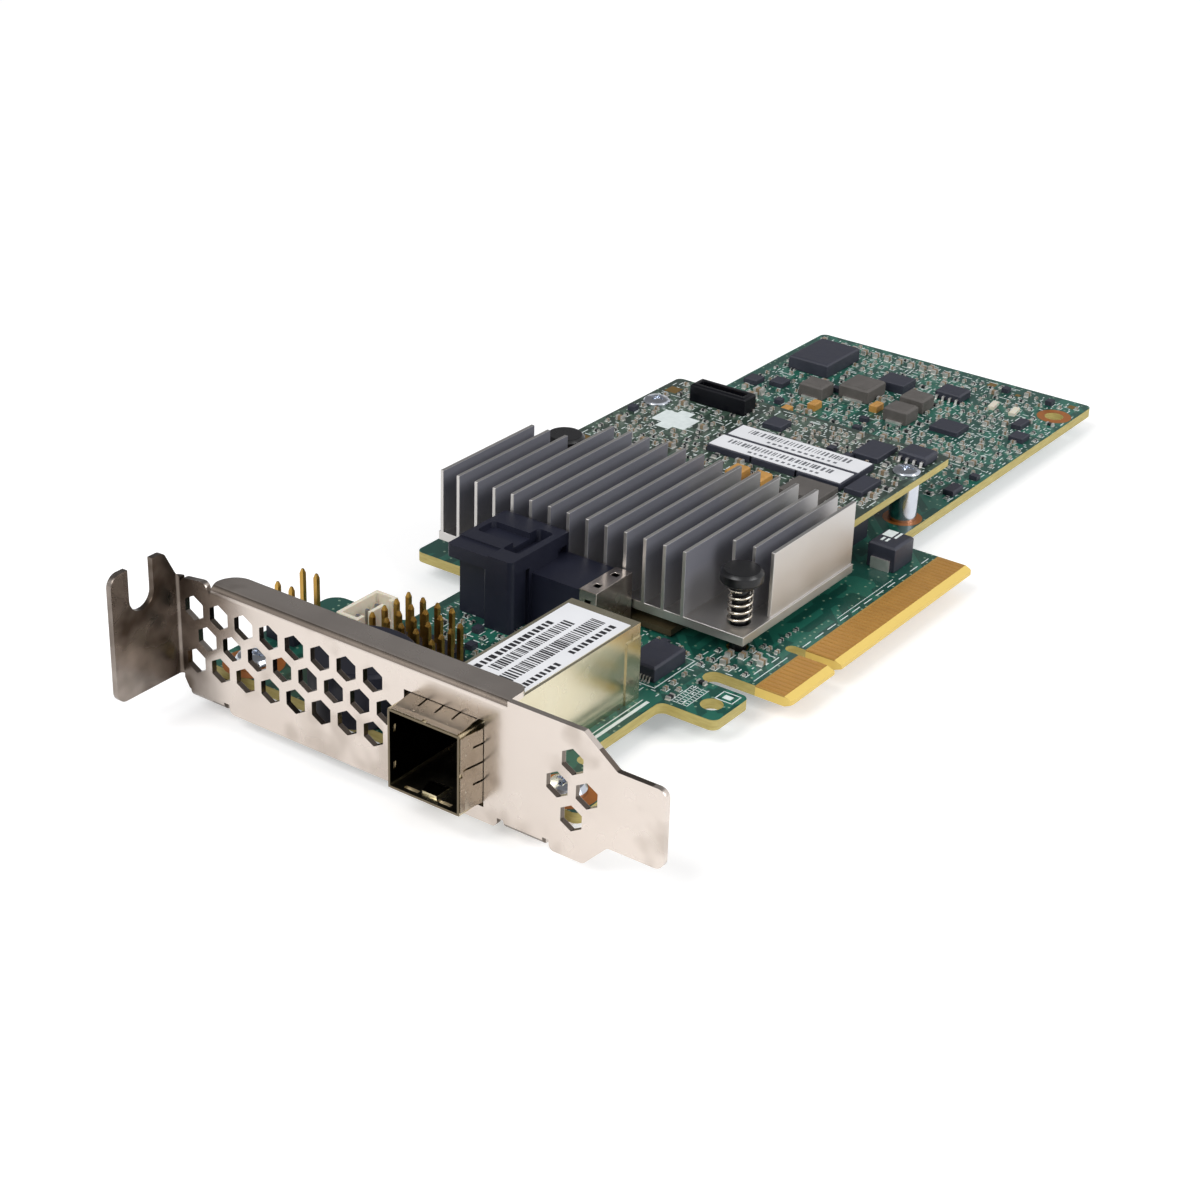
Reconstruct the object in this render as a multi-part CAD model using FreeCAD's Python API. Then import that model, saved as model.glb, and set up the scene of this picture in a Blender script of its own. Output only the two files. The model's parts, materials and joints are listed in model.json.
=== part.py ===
import FreeCAD, Part
import math
import os

from FreeCAD import Vector

# A low-profile storage controller card, component side up. All lengths are in millimetres.
# X runs along the card from the slot bracket to the rear end, Y from the ends of the contact
# fingers up to the long top edge, and Z up from the component side of the board.
# While it is modelled, X is counted from the bracket's outer face. The finished pieces are
# moved so that the origin lies on the centre line of the key slot.

# Board
board_thickness = 1.57
board_front = 5.5
board_rear = 167.65
board_top_edge_gap = 0.2
rear_shoulder = 13.7
front_lobe_rear = 15.5
front_lobe_edge = 5.3
neck_edge = 13.5
corner_radius = 1.2
cutout_front = 31.5
cutout_rear = 49.9
cutout_edge = 54.6
hook_front = 35.2
hook_rear = 43.7
hook_edge = 4.7
hook_hole = (38.9, 7.7)
hook_hole_radius = 1.6
rear_hole = (159.4, 16.9)
rear_hole_radius = 1.6

# Contact tongue
bracket_to_key = 59.05
key_width = 1.9
key_depth = 8.5
finger_pitch = 1.0
finger_width = 0.7
finger_start = 1.3
finger_end = 5.5
finger_thickness = 0.05
fingers_before_key = 11
fingers_after_key = 38
tongue_margin = 0.2
tongue_root = 13.1
tongue_bevel_length = 1.2
tongue_bevel_depth = 0.5

# Bracket, folded from one sheet
sheet = 0.86
bend_radius = 0.5
bracket_length = 79.2
bracket_width = 18.42
flange_face = 68.2
flange_reach = 11.75
flange_bottom = 1.0
flange_top = 19.6
flange_slot_width = 4.42
flange_slot_centre = 6.5
flange_slot_depth = 6.6
lip_depth = 4.4
lip_start = 12.4
lip_end_clear = 6.8
lip_corner = 3.0
tongue_top = 12.2
tongue_bottom = 1.2
bracket_tongue_length = 7.0
ear_width = 6.0
ear_reach = 13.0
ear_corner = 1.5
relief_width = 1.0
vent_flats = 3.2
vent_pitch = 4.4
vent_row_pitch = 3.95
vent_rows_centre = 7.6
vent_last_clear = 3.7
vents_per_row = 8
side_vent_centre = 2.55
side_vent_drop = 0.35
bracket_screw_inset = 9.1
lower_ear = 9.8
upper_ear_clear = 5.4
screw_radius = 1.5
screw_clearance = 0.15
screw_head_radius = 2.7
screw_head_height = 1.7

# External port
cage_front = -4.0
cage_rear = 34.3
cage_right = 16.6
cage_width = 11.3
cage_height = 11.3
cage_sheet = 0.3
port_depth = 13.0
port_frame_gap = 0.7
port_sill_gap = 0.3
gasket_sheet = 0.12
gasket_gap = 0.03
side_fingers = 4
top_fingers = 4
gasket_slit = 0.3
gasket_slit_start = -1.7
long_slit_start = -3.4
side_slit_rise = 0.6
cage_pin_radius = 0.4
cage_pins = (8.0, 19.0, 30.0)
pin_hole_clearance = 0.1

# Internal port
inner_front = 37.2
inner_rear = 50.6
inner_mouth = 51.8
inner_back = 40.4
inner_height = 11.3
inner_hood = 2.2
inner_rib = 45.2
inner_low_height = 8.1
inner_low_front = 42.0
inner_low_end = 32.1
inner_clip_end = 29.2
inner_wall = 1.3
clip_sheet = 0.3

# Heatsink
fin_count = 17
fin_pitch = 3.32
fin_thickness = 0.6
sink_front = 50.9
sink_rear = 80.5
sink_right = 11.0
sink_top = 14.0
sink_base_top = 4.05
sink_base_bottom = 2.65
corner_clear_length = 7.5
corner_clear_fins = 3
pin_inset_x = 3.9
pin_inset_y = 2.9
pin_hole_radius = 1.6

# Push pins that hold the heatsink
push_cap_radius = 3.1
push_cap_top = 12.3
push_cap_thickness = 2.0
push_collar_radius = 2.1
push_collar_height = 0.7
push_shaft_radius = 1.2
push_barb_radius = 1.95
push_tip_length = 2.6
push_split = 0.7
spring_wire = 0.4
spring_mean_radius = 1.62
spring_turns = 4.6
rest_gap = 0.3
spring_gap = 0.05

# Controller under the heatsink
package_size = 30.0
package_front = 50.85
package_thickness = 1.0
solder_height = 0.35
die_cover_size = 25.0
pad_thickness = 0.2

# Cache board on its standoffs
cache_sink_gap = 1.8
cache_length = 34.1
cache_right = 14.4
cache_left = 65.9
cache_level = 7.7
cache_thickness = 1.2
standoff_spots = ((24.6, 2.6), (23.0, 48.4))
standoff_radius = 2.2
standoff_screw_radius = 1.0
stack_inset = 9.2
stack_width = 5.8
stack_end_clear = 3.4

# Chips on the cache board, from its front edge and its right edge
memory_size = (10.2, 7.8, 1.1)
memory_spot = (11.9, 7.0)
memory_gap = 0.4
label_sheet = 0.08
power_monitor_size = (6.4, 4.6, 0.9)
power_monitor_spot = (27.5, 10.0)
buffer_size = (6.0, 3.0, 0.9)
buffer_spot = (14.9, 4.8)
flash_size = (6.0, 7.0, 1.0)
flash_spot = (8.1, 10.4)
charger_size = (3.4, 3.4, 0.9)
charger_spot = (26.9, 27.7)
tantalum_size = (3.4, 2.6, 1.7)
tantalum_spots = ((6.1, 17.8), (6.1, 21.8))
cache_soic_spot = (30.0, 3.7)
power_socket_size = (3.5, 10.6, 3.0)
power_socket_spot = (28.65, 39.3)
power_socket_wall = 1.0

# Small parts on the main board, placed by their middles
small_outline_size = (3.9, 4.9, 1.6)
small_outline_spots = ((155.5, 34.5), (126.5, 56.0))
lead_pitch = 1.27
lead_width = 0.4
lead_reach = 0.95
lead_sheet = 0.15
interface_size = (7.6, 5.2, 2.3)
interface_spot = (42.6, 19.6)
crystal_size = (4.8, 3.2, 1.1)
crystal_spot = (126.0, 24.0)
lamp_size = (1.2, 2.0, 0.9)
lamp_spots = ((8.0, 31.5), (8.0, 34.5))
regulator_module_size = (11.2, 8.0, 2.5)
regulator_module_spot = (154.5, 60.0)
switch_size = (4.6, 5.2, 1.6)
switch_spot = (153.3, 44.5)
quad_size = (4.4, 5.2, 0.9)
quad_spot = (142.4, 28.1)
gate_size = (2.8, 2.6, 0.9)
gate_spots = ((146.4, 17.0), (139.4, 65.2), (141.2, 61.0))
diode_size = (3.4, 1.8, 0.9)
diode_spots = ((120.4, 15.4), (151.6, 19.4))
filter_size = (2.4, 1.5, 1.3)
filter_spots = ((130.6, 53.2), (142.0, 42.0), (135.8, 50.6))
choke_size = (6.2, 4.7, 4.1)
choke_spot = (sink_rear + 11.1, 10.6)
choke_end_height = 1.8
coil_size = (4.7, 4.6, 2.5)
coil_spots = ((141.2, 53.6), (141.1, 36.8), (147.4, 37.2))
large_coil_size = (6.8, 5.8, 2.5)
large_coil_spot = (146.2, 47.3)
coil_end_height = 0.4
capacitor_size = (1.6, 0.9, 0.8)
capacitor_spots = ((122.0, 21.0), (132.0, 18.0), (120.5, 40.0), (163.5, 40.0))
capacitor_counts = (6, 8, 7, 10)
lone_capacitor_spots = ((52.5, 8.4), (49.5, 12.6))
tall_capacitor_size = (1.2, 2.0, 1.1)
tall_capacitor_spot = (128.0, 61.5)
tall_capacitor_count = 4
resistor_size = (1.0, 0.5, 0.4)
resistor_spots = ((135.6, 24.0), (150.8, 24.0), (46.4, 22.8))
resistor_counts = (6, 4, 3)
key_resistor_spot = (60.0, 10.0)
key_resistor_count = 3
cache_capacitor_spots = ((3.7, 26.4), (25.5, 14.9), (28.6, 15.9))
cache_capacitor_counts = (6, 4, 4)

# Sounder, headers and cable socket near the bracket
sounder_spot = (10.2, 44.1)
sounder_radius = 7.4
sounder_height = 8.0
sounder_hole_radius = 1.2
sounder_recess = 1.0
header_pitch = 2.54
lamp_header_pitch = 2.0
header_base_height = 2.5
header_pin_top = 8.5
header_pin_side = 0.64
header_spots = ((17.1, 62.9), (22.2, 62.9))
grid_header_spot = (18.3, 41.8)
lamp_header_spot = (17.2, 38.2)
cable_socket_size = (8.6, 3.9, 6.0)
cable_socket_spot = (23.3, 54.6)
cable_socket_wall = 0.6
cable_socket_floor = 1.2
cable_socket_pin = 0.5
cable_socket_pitch = 2.0


def plane_xy(u, v):
    return Vector(u, v, 0)


def plane_xz(u, v):
    return Vector(u, 0, v)


def plane_yz(u, v):
    return Vector(0, u, v)


def corner(before, point, after, radius):
    """Ends and middle of the arc that rounds one corner of an outline."""
    to_before = (before - point).normalize()
    to_after = (after - point).normalize()
    half = to_before.getAngle(to_after) / 2
    reach = radius / math.tan(half)
    bisector = (to_before + to_after).normalize()
    centre = point + bisector * (radius / math.sin(half))
    return point + to_before * reach, centre - bisector * radius, point + to_after * reach


def outline(points, plane=plane_xy):
    """A closed face; each point is (u, v) or (u, v, radius of its rounded corner)."""
    spots = [plane(p[0], p[1]) for p in points]
    edges = []
    starts = []
    ends = []
    for i, p in enumerate(points):
        if len(p) == 3:
            first, middle, last = corner(spots[i - 1], spots[i], spots[(i + 1) % len(points)], p[2])
            edges.append(Part.Arc(first, middle, last).toShape())
        else:
            first = last = spots[i]
        starts.append(first)
        ends.append(last)
    for i in range(len(points)):
        following = starts[(i + 1) % len(points)]
        if ends[i].distanceToPoint(following) > 1e-6:
            edges.append(Part.makeLine(ends[i], following))
    return Part.Face(Part.Wire(Part.sortEdges(edges)[0]))


def slab(points, low, high, plane=plane_xy):
    """An outline given a thickness between two levels of the axis that it faces."""
    axis = {plane_xy: Vector(0, 0, 1), plane_xz: Vector(0, 1, 0), plane_yz: Vector(1, 0, 0)}[plane]
    solid = outline(points, plane).extrude(axis * (high - low))
    solid.translate(axis * low)
    return solid


def block(x0, x1, y0, y1, z0, z1):
    return Part.makeBox(x1 - x0, y1 - y0, z1 - z0, Vector(x0, y0, z0))


def post(x, y, radius, z0, z1):
    return Part.makeCylinder(radius, z1 - z0, Vector(x, y, z0))


def turned(profile, x, y):
    """A solid of revolution about a vertical axis, from (radius, height) points."""
    wire = Part.makePolygon([Vector(r, 0, z) for r, z in profile] + [Vector(profile[0][0], 0, profile[0][1])])
    solid = Part.Face(wire).revolve(Vector(0, 0, 0), Vector(0, 0, 1), 360)
    solid.translate(Vector(x, y, 0))
    return solid


def package(x, y, length, width, low, high, bevel=0.1):
    """A moulded chip body with a bevelled top rim, centred on x, y."""
    def section(grow, z):
        a, b = length / 2 - grow, width / 2 - grow
        return Part.makePolygon([Vector(x + i * a, y + j * b, z)
                                 for i, j in ((-1, -1), (1, -1), (1, 1), (-1, 1), (-1, -1))])
    straight = block(x - length / 2, x + length / 2, y - width / 2, y + width / 2, low, high - bevel)
    rim = Part.makeLoft([section(0, high - bevel), section(bevel, high)], True)
    return straight.fuse(rim).removeSplitter()


def on_board(size, spot, foot=0.0, bevel=0.1):
    """A chip body of a named size (length, width, height) that stands at height foot."""
    length, width, height = size
    return package(spot[0], spot[1], length, width, foot, foot + height, bevel)


def along_board(distance):
    """Turn a distance from the bracket's outer face into the finished X."""
    return distance - bracket_to_key


def save(name, solids):
    """Write one node; several separate solids go into one compound."""
    solids = solids if isinstance(solids, list) else [solids]
    shape = solids[0] if len(solids) == 1 else Part.makeCompound(solids)
    shape = shape.copy()
    shape.translate(Vector(along_board(0), 0, 0))
    shape.exportStep(f"parts/{name}.step")
    print(name, len(shape.Solids), "solids", "valid" if shape.isValid() else "NOT VALID", round(shape.Volume, 1))


# Values that several pieces share
board_bottom = -board_thickness
key_front = bracket_to_key - key_width / 2
key_rear = bracket_to_key + key_width / 2
tongue_front = key_front - fingers_before_key * finger_pitch - tongue_margin
tongue_rear = key_rear + fingers_after_key * finger_pitch + tongue_margin
plate_bottom = board_bottom - sheet
plate_top = plate_bottom + bracket_width
bend_outer = bend_radius + sheet
bracket_end = flange_face - bracket_length
board_top_edge = flange_face - board_top_edge_gap
lip_end = flange_face - lip_end_clear
bracket_screws = ((bracket_screw_inset, lower_ear), (bracket_screw_inset, flange_face - upper_ear_clear))
cache_front = sink_rear + cache_sink_gap
cache_rear = cache_front + cache_length
standoffs = [(cache_front + x, cache_right + y) for x, y in standoff_spots]
cage_left = cage_right + cage_width
sink_left = sink_right + (fin_count - 1) * fin_pitch
push_front = (sink_front + pin_inset_x, sink_right + pin_inset_y)
push_rear = (sink_rear - pin_inset_x, sink_left - pin_inset_y - 0.9)
cache_bottom = cache_level - cache_thickness
stack_front = cache_front + stack_inset
stack_rear = stack_front + stack_width
stack_right = cache_right + stack_end_clear
stack_left = cache_left - 2 * stack_end_clear + 0.9


# Main board
def finger_places():
    """Left edge of each contact finger along the card."""
    side = (finger_pitch - finger_width) / 2
    for i in range(fingers_before_key):
        yield key_front - (i + 1) * finger_pitch + side
    for i in range(fingers_after_key):
        yield key_rear + i * finger_pitch + side


def main_board():
    slot_radius = (tongue_front - hook_rear) / 2
    key_radius = key_width / 2
    board = slab([
        (board_front, front_lobe_edge, corner_radius),
        (front_lobe_rear, front_lobe_edge, corner_radius),
        (front_lobe_rear, neck_edge, corner_radius),
        (hook_front, neck_edge, corner_radius),
        (hook_front, hook_edge, corner_radius),
        (hook_rear, hook_edge, corner_radius),
        (hook_rear, tongue_root, slot_radius * 0.98),
        (tongue_front, tongue_root, slot_radius * 0.98),
        (tongue_front, 0, 0.6),
        (tongue_rear, 0, 0.6),
        (tongue_rear, rear_shoulder, corner_radius),
        (board_rear, rear_shoulder, corner_radius),
        (board_rear, board_top_edge, corner_radius),
        (cutout_rear, board_top_edge, corner_radius),
        (cutout_rear, cutout_edge, corner_radius),
        (cutout_front, cutout_edge, corner_radius),
        (cutout_front, board_top_edge, 2 * corner_radius),
        (board_front, board_top_edge, corner_radius),
    ], board_bottom, 0)
    key = block(key_front, key_rear, -1, key_depth - key_radius, board_bottom - 1, 1)
    key = key.fuse(post(bracket_to_key, key_depth - key_radius, key_radius, board_bottom - 1, 1))
    board = board.cut(key)
    # Both faces of the tongue are bevelled towards the fingers' ends.
    for face, away in ((0, 1), (board_bottom, -1)):
        wedge = slab([(-1, face), (-1, face + away), (tongue_bevel_length, face + away), (tongue_bevel_length, face),
                      (0, face - away * tongue_bevel_depth), (-1, face - away * tongue_bevel_depth)],
                     tongue_front - 1, tongue_rear + 1, plane_yz)
        board = board.cut(wedge)
    holes = [(hook_hole, hook_hole_radius), (rear_hole, rear_hole_radius)]
    holes += [(spot, screw_radius + screw_clearance) for spot in bracket_screws]
    holes += [(push_front, pin_hole_radius), (push_rear, pin_hole_radius)]
    holes += [(spot, standoff_screw_radius + screw_clearance) for spot in standoffs]
    holes += [((x, y), cage_pin_radius + pin_hole_clearance) for x in cage_pins for y in cage_pin_rows()]
    for (x, y), radius in holes:
        board = board.cut(post(x, y, radius, board_bottom - 1, 1))
    return board


def edge_contacts():
    pads = []
    for x in finger_places():
        pads.append(block(x, x + finger_width, finger_start, finger_end, 0, finger_thickness))
        pads.append(block(x, x + finger_width, finger_start, finger_end, board_bottom - finger_thickness, board_bottom))
    return pads


# Bracket
def vent(y, z):
    """A six-sided hole with points above and below."""
    tip = vent_flats / math.sqrt(3)
    ring = [(y + tip * math.sin(math.radians(60 * i)), z + tip * math.cos(math.radians(60 * i))) for i in range(6)]
    return slab(ring, -1, sheet + 1, plane_yz)


def vents():
    holes = []
    for row in (-1, 0, 1):
        shift = vent_pitch / 2 if row == 0 else 0
        last = flange_face - vent_last_clear - shift
        z = vent_rows_centre + row * vent_row_pitch
        holes += [vent(last - i * vent_pitch, z) for i in range(vents_per_row)]
        side = [side_vent_centre] if row else [side_vent_centre - vent_pitch / 2, side_vent_centre + vent_pitch / 2]
        holes += [vent(y, z - side_vent_drop) for y in side]
    return holes


def angle_strip(reach, level, y0, y1):
    """A strip folded inwards from the plate; level is the outer side of the fold."""
    toward = 1 if level > 0 else -1
    inner = level - toward * sheet
    start = level - toward * bend_outer
    return slab([(0, start), (0, level, bend_outer), (reach, level), (reach, inner),
                 (sheet, inner, bend_radius), (sheet, start)], y0, y1, plane_xz)


def ear(centre):
    y0, y1 = centre - ear_width / 2, centre + ear_width / 2
    strip = angle_strip(ear_reach, plate_bottom, y0, y1)
    plan = slab([(-1, y0), (ear_reach, y0, ear_corner), (ear_reach, y1, ear_corner), (-1, y1)],
                plate_bottom - 1, 1)
    return strip.common(plan)


def flange():
    """The screw flange, folded outwards at the upper end of the plate."""
    inner = flange_face - sheet
    start = flange_face - bend_outer
    strip = slab([(sheet, start), (sheet, flange_face, bend_outer), (-flange_reach, flange_face),
                  (-flange_reach, inner), (0, inner, bend_radius), (0, start)], flange_bottom, flange_top)
    shape = slab([(sheet + 1, flange_bottom), (-flange_reach, flange_bottom, 1.6), (-flange_reach, flange_top, 1.8),
                  (-2.2, flange_top, 1.0), (0, plate_top - 0.6), (sheet + 1, plate_top - 0.6)],
                 start - 1, flange_face + 1, plane_xz)
    slot_radius = flange_slot_width / 2
    slot_end = flange_top - flange_slot_depth + slot_radius
    slot = block(-flange_slot_centre - slot_radius, -flange_slot_centre + slot_radius,
                 start - 1, flange_face + 1, slot_end, flange_top + 1)
    slot = slot.fuse(Part.makeCylinder(slot_radius, bend_outer + 2, Vector(-flange_slot_centre, start - 1, slot_end),
                                       Vector(0, 1, 0)))
    return strip.common(shape).cut(slot)


def bracket():
    start = flange_face - bend_outer
    tongue_start = bracket_end + bracket_tongue_length
    ears = [y for x, y in bracket_screws]
    plate = slab([
        (start, flange_bottom), (start, plate_top - 0.6, 1.0), (lip_end + 1.0, plate_top, 1.0),
        (lip_end + 0.5, plate_top - bend_outer),
        (lip_start, plate_top - bend_outer), (lip_start, plate_top), (1.0, plate_top), (tongue_start, tongue_top, 0.8),
        (bracket_end, tongue_top, 1.3), (bracket_end, tongue_bottom, 1.3), (tongue_start + 1.1, tongue_bottom, 0.8),
        (0.6, plate_bottom, 1.0), (ears[0] - ear_width / 2 - relief_width, plate_bottom, 0.8),
        (ears[0] - ear_width / 2 - relief_width, plate_bottom + bend_outer),
        (ears[0] + ear_width / 2 + relief_width, plate_bottom + bend_outer),
        (ears[0] + ear_width / 2 + relief_width, plate_bottom, 0.8),
        (ears[1] - ear_width / 2 - relief_width, plate_bottom, 0.8),
        (ears[1] - ear_width / 2 - relief_width, plate_bottom + bend_outer),
        (ears[1] + ear_width / 2 + 0.2, plate_bottom + bend_outer, 0.5),
        (start, flange_bottom - 0.6),
    ], 0, sheet, plane_yz)
    opening = block(-1, sheet + 1, cage_right - port_frame_gap, cage_left + port_frame_gap,
                    -port_sill_gap, cage_height + port_frame_gap)
    plate = plate.cut(opening)
    plate = plate.cut(Part.makeCompound(vents()))
    lip = angle_strip(lip_depth, plate_top, lip_start, lip_end)
    lip = lip.common(slab([(-1, lip_start), (lip_depth, lip_start, lip_corner / 2), (lip_depth, lip_end, lip_corner),
                           (-1, lip_end)], plate_top - 3, plate_top + 1))
    whole = plate.multiFuse([lip, flange()] + [ear(y) for y in ears])
    for x, y in bracket_screws:
        whole = whole.cut(post(x, y, screw_radius, plate_bottom - 1, board_bottom + 0.5))
    return whole.removeSplitter()


def pan_screw(x, y, shank_end, seat, radius, head_radius, head_height):
    """A pan-head screw with a cross recess, head upwards on its seat."""
    body = turned([(0, shank_end), (radius, shank_end), (radius, seat), (head_radius, seat),
                   (head_radius, seat + 0.4 * head_height), (0.82 * head_radius, seat + 0.8 * head_height),
                   (0.45 * head_radius, seat + head_height), (0, seat + head_height)], x, y)
    long, wide, deep = 1.1 * head_radius, 0.24 * head_radius, 0.55 * head_height
    top = seat + head_height
    for a, b in ((long, wide), (wide, long)):
        body = body.cut(block(x - a / 2, x + a / 2, y - b / 2, y + b / 2, top - deep, top + 1))
    return body


def bracket_screw_set():
    return [pan_screw(x, y, plate_bottom, 0, screw_radius, screw_head_radius, screw_head_height)
            for x, y in bracket_screws]


# External port
def cage_pin_rows():
    return (cage_right + cage_sheet / 2 + 0.25, cage_left - cage_sheet / 2 - 0.25)


def external_cage():
    outer = block(cage_front, cage_rear, cage_right, cage_left, 0, cage_height)
    hollow = block(cage_front - 1, cage_rear - cage_sheet, cage_right + cage_sheet, cage_left - cage_sheet,
                   cage_sheet, cage_height - cage_sheet)
    shell = outer.cut(hollow)
    # The floor is open behind the port, where the contacts reach the board.
    shell = shell.cut(block(port_depth + 2, cage_rear - 3, cage_right + 1, cage_left - 1, -1, 1))
    # Latch windows beside the mouth and the seam of the rear flap.
    middle = (cage_right + cage_left) / 2
    window = 1.1
    for z in (0.25 * cage_height, 0.72 * cage_height):
        shell = shell.cut(block(cage_front + 0.7, cage_front + 1.3, cage_right - 1, cage_left + 1,
                                z - window / 2, z + window / 2))
    for y in (middle - 2.6, middle + 2.6):
        shell = shell.cut(block(cage_front + 0.7, cage_front + 1.3, y - window, y + window, -1, cage_height + 1))
    seam = cage_rear - 2.0
    for y0, y1 in ((cage_right - 1, cage_right + cage_sheet / 2), (cage_left - cage_sheet / 2, cage_left + 1)):
        shell = shell.cut(block(seam, seam + 0.2, y0, y1, 1.0, cage_height - 1.0))
    # A lance stands up from the floor of the mouth and stops a plug put in upside down.
    lance = slab([(cage_front + 1.2, cage_sheet), (cage_front + 1.2, cage_sheet + 0.35),
                  (cage_front + 2.6, cage_sheet + 1.0, 0.4), (cage_front + 4.4, cage_sheet)],
                 middle - 1.15, middle + 1.15, plane_xz)
    feet = [post(x, y, cage_pin_radius, board_bottom - 0.8, cage_sheet) for x in cage_pins for y in cage_pin_rows()]
    return shell.multiFuse([lance] + feet).removeSplitter()


def bowed_strip(width, bow):
    """One sprung finger, seen from the side: hemmed at the mouth and bowed towards the bracket."""
    start = cage_front + 0.15
    end = sheet + 1.4
    peak = sheet / 2
    low = gasket_gap
    points = [(start, low), (start + 0.9, low), (peak, bow - gasket_sheet, 2.2), (end, low),
              (end, low + gasket_sheet), (peak, bow, 2.2), (start + 0.9, low + gasket_sheet), (start, low + gasket_sheet)]
    return slab(points, -width / 2, width / 2, plane_xz)


def gasket_side(span, fingers, frame_gap, slit_shift, place, turn):
    """A row of fingers joined by the hem, turned about X onto one side of the cage."""
    row_width = span - 0.8
    pitch = row_width / fingers
    strip = bowed_strip(row_width, frame_gap - gasket_gap)
    for i in range(1, fingers):
        y = -row_width / 2 + i * pitch + slit_shift
        start = long_slit_start if i == fingers / 2 and slit_shift else gasket_slit_start
        strip = strip.cut(block(start, sheet + 3, y - gasket_slit / 2, y + gasket_slit / 2, -1, 2))
    # The hem has a shallow notch in its middle, and a small contact dimple presses out of each half.
    strip = strip.cut(block(cage_front - 1, cage_front + 0.5, -gasket_slit, gasket_slit, -1, 2))
    for side in (-1, 1):
        dimple = Part.makeSphere(0.45, Vector(cage_front + 1.3, side * row_width / 4, gasket_gap - 0.25))
        strip = strip.fuse(dimple.common(block(cage_front, sheet, -span, span, gasket_gap + gasket_sheet / 2, 2)))
    strip = strip.removeSplitter()
    strip.rotate(Vector(0, 0, 0), Vector(1, 0, 0), turn)
    strip.translate(place)
    return strip


def port_gasket():
    middle = (cage_right + cage_left) / 2
    half = cage_height / 2
    return [gasket_side(cage_width, top_fingers, port_frame_gap, 0, Vector(0, middle, cage_height), 0),
            gasket_side(cage_height, side_fingers, port_frame_gap, side_slit_rise, Vector(0, cage_right, half), 90),
            gasket_side(cage_width, top_fingers, port_sill_gap, 0, Vector(0, middle, 0), 180),
            gasket_side(cage_height, side_fingers, port_frame_gap, -side_slit_rise, Vector(0, cage_left, half), -90)]


def external_receptacle():
    gap = 0.1
    y0, y1 = cage_right + cage_sheet + gap, cage_left - cage_sheet - gap
    top = cage_height - cage_sheet - gap
    body = block(port_depth, cage_rear - cage_sheet - gap, y0, y1, 0.4, top)
    # Two card slots, one above the other.
    for z in slot_levels():
        body = body.cut(block(port_depth - 1, port_depth + 7, y0 + 1.3, y1 - 1.3, z - 0.65, z + 0.65))
    return body.cut(block(cage_rear - 6, cage_rear, y0 - 1, y1 + 1, 0, 3.0))


def slot_levels():
    return (0.3 * cage_height, 0.68 * cage_height)


def external_contacts():
    """Rows of sprung contacts that lie on the walls of both card slots."""
    y0, y1 = cage_right + cage_sheet + 1.9, cage_left - cage_sheet - 1.9
    count = 9
    rows = []
    for z in slot_levels():
        for side in (-1, 1):
            level = z + side * 0.65
            low, high = sorted((level, level - side * 0.2))
            for i in range(count):
                y = y0 + (y1 - y0) * i / (count - 1)
                rows.append(block(port_depth + 0.4, port_depth + 6.5, y - 0.16, y + 0.16, low, high))
    return rows


def cage_label():
    return block(lip_depth + 3.2, cage_rear - 1.6, cage_right + 0.5, cage_left - 0.6, cage_height, cage_height + 0.08)


# Internal port
def internal_housing():
    """A right-angle housing whose hood reaches out over the mouth."""
    side_front = inner_front + 1.8
    hood_low = inner_height - inner_hood
    hood = slab([(inner_front, inner_back, 0.8), (inner_rear, inner_back), (inner_rear, inner_mouth, 0.5),
                 (inner_front, inner_mouth, 0.5)], hood_low, inner_height)
    head = block(side_front, inner_rear, inner_back, inner_mouth - 0.9, 0, hood_low)
    pillar = slab([(inner_front, inner_back, 0.8), (inner_rear, inner_back), (inner_rear, inner_rib),
                   (inner_front, inner_rib, 0.3)], 0, hood_low)
    low = block(inner_low_front, inner_rear, inner_low_end, inner_back, 0, inner_low_height)
    body = hood.multiFuse([head, pillar, low])
    # The mouth takes the plug from the long edge of the board.
    mouth = block(side_front + inner_wall, inner_rear - inner_wall, inner_back + 1.8, inner_mouth + 1,
                  inner_wall, hood_low - 0.4)
    # The hood is stepped down along its front, and has a T-shaped recess for the plug's latch.
    step = block(inner_front - 1, inner_front + 3.0, inner_rib - 0.7, inner_mouth + 1, inner_height - 0.25, inner_height + 1)
    stem_front, stem_rear = inner_front + 5.6, inner_rear - 3.9
    stem = slab([(stem_front, inner_back + 2.6), (stem_rear, inner_back + 2.6), (stem_rear, inner_mouth - 0.9, 0.6),
                 (stem_front, inner_mouth - 0.9, 0.6)], inner_height - 0.9, inner_height + 1)
    bar_front, bar_rear, bar_low, bar_high = inner_front + 3.1, inner_rear - 1.9, inner_back + 1.2, inner_back + 4.0
    bar = slab([(bar_front, bar_low, 0.5), (bar_rear, bar_low, 0.5), (bar_rear, bar_high, 0.5), (bar_front, bar_high, 0.5)],
               inner_height - 1.9, inner_height + 1)
    pocket = block(inner_rear - 2.5, inner_rear - 0.4, inner_back - 1, inner_back + 1.0, inner_low_height, hood_low + 0.3)
    body = body.cut(mouth).cut(step).cut(stem).cut(bar).cut(pocket)
    # A narrow groove parts the pillar from the low rear body.
    groove = block(inner_front + 0.9, inner_low_front - 0.6, inner_back - 1, inner_back + 0.6, -1, hood_low)
    return body.cut(groove).removeSplitter()


def internal_contacts():
    """Contact blades on the floor and roof of the mouth, and their tails behind."""
    pieces = []
    x0, x1 = inner_front + 1.8 + inner_wall + 0.8, inner_rear - inner_wall - 0.8
    count = 9
    for i in range(count):
        x = x0 + (x1 - x0) * i / (count - 1)
        pieces.append(block(x - 0.18, x + 0.18, inner_back + 1.8, inner_back + 8.5, inner_wall, inner_wall + 0.2))
        pieces.append(block(x - 0.18, x + 0.18, inner_back + 5.4, inner_back + 8.5, inner_height - inner_hood - 0.6,
                            inner_height - inner_hood - 0.4))
    return pieces


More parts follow.
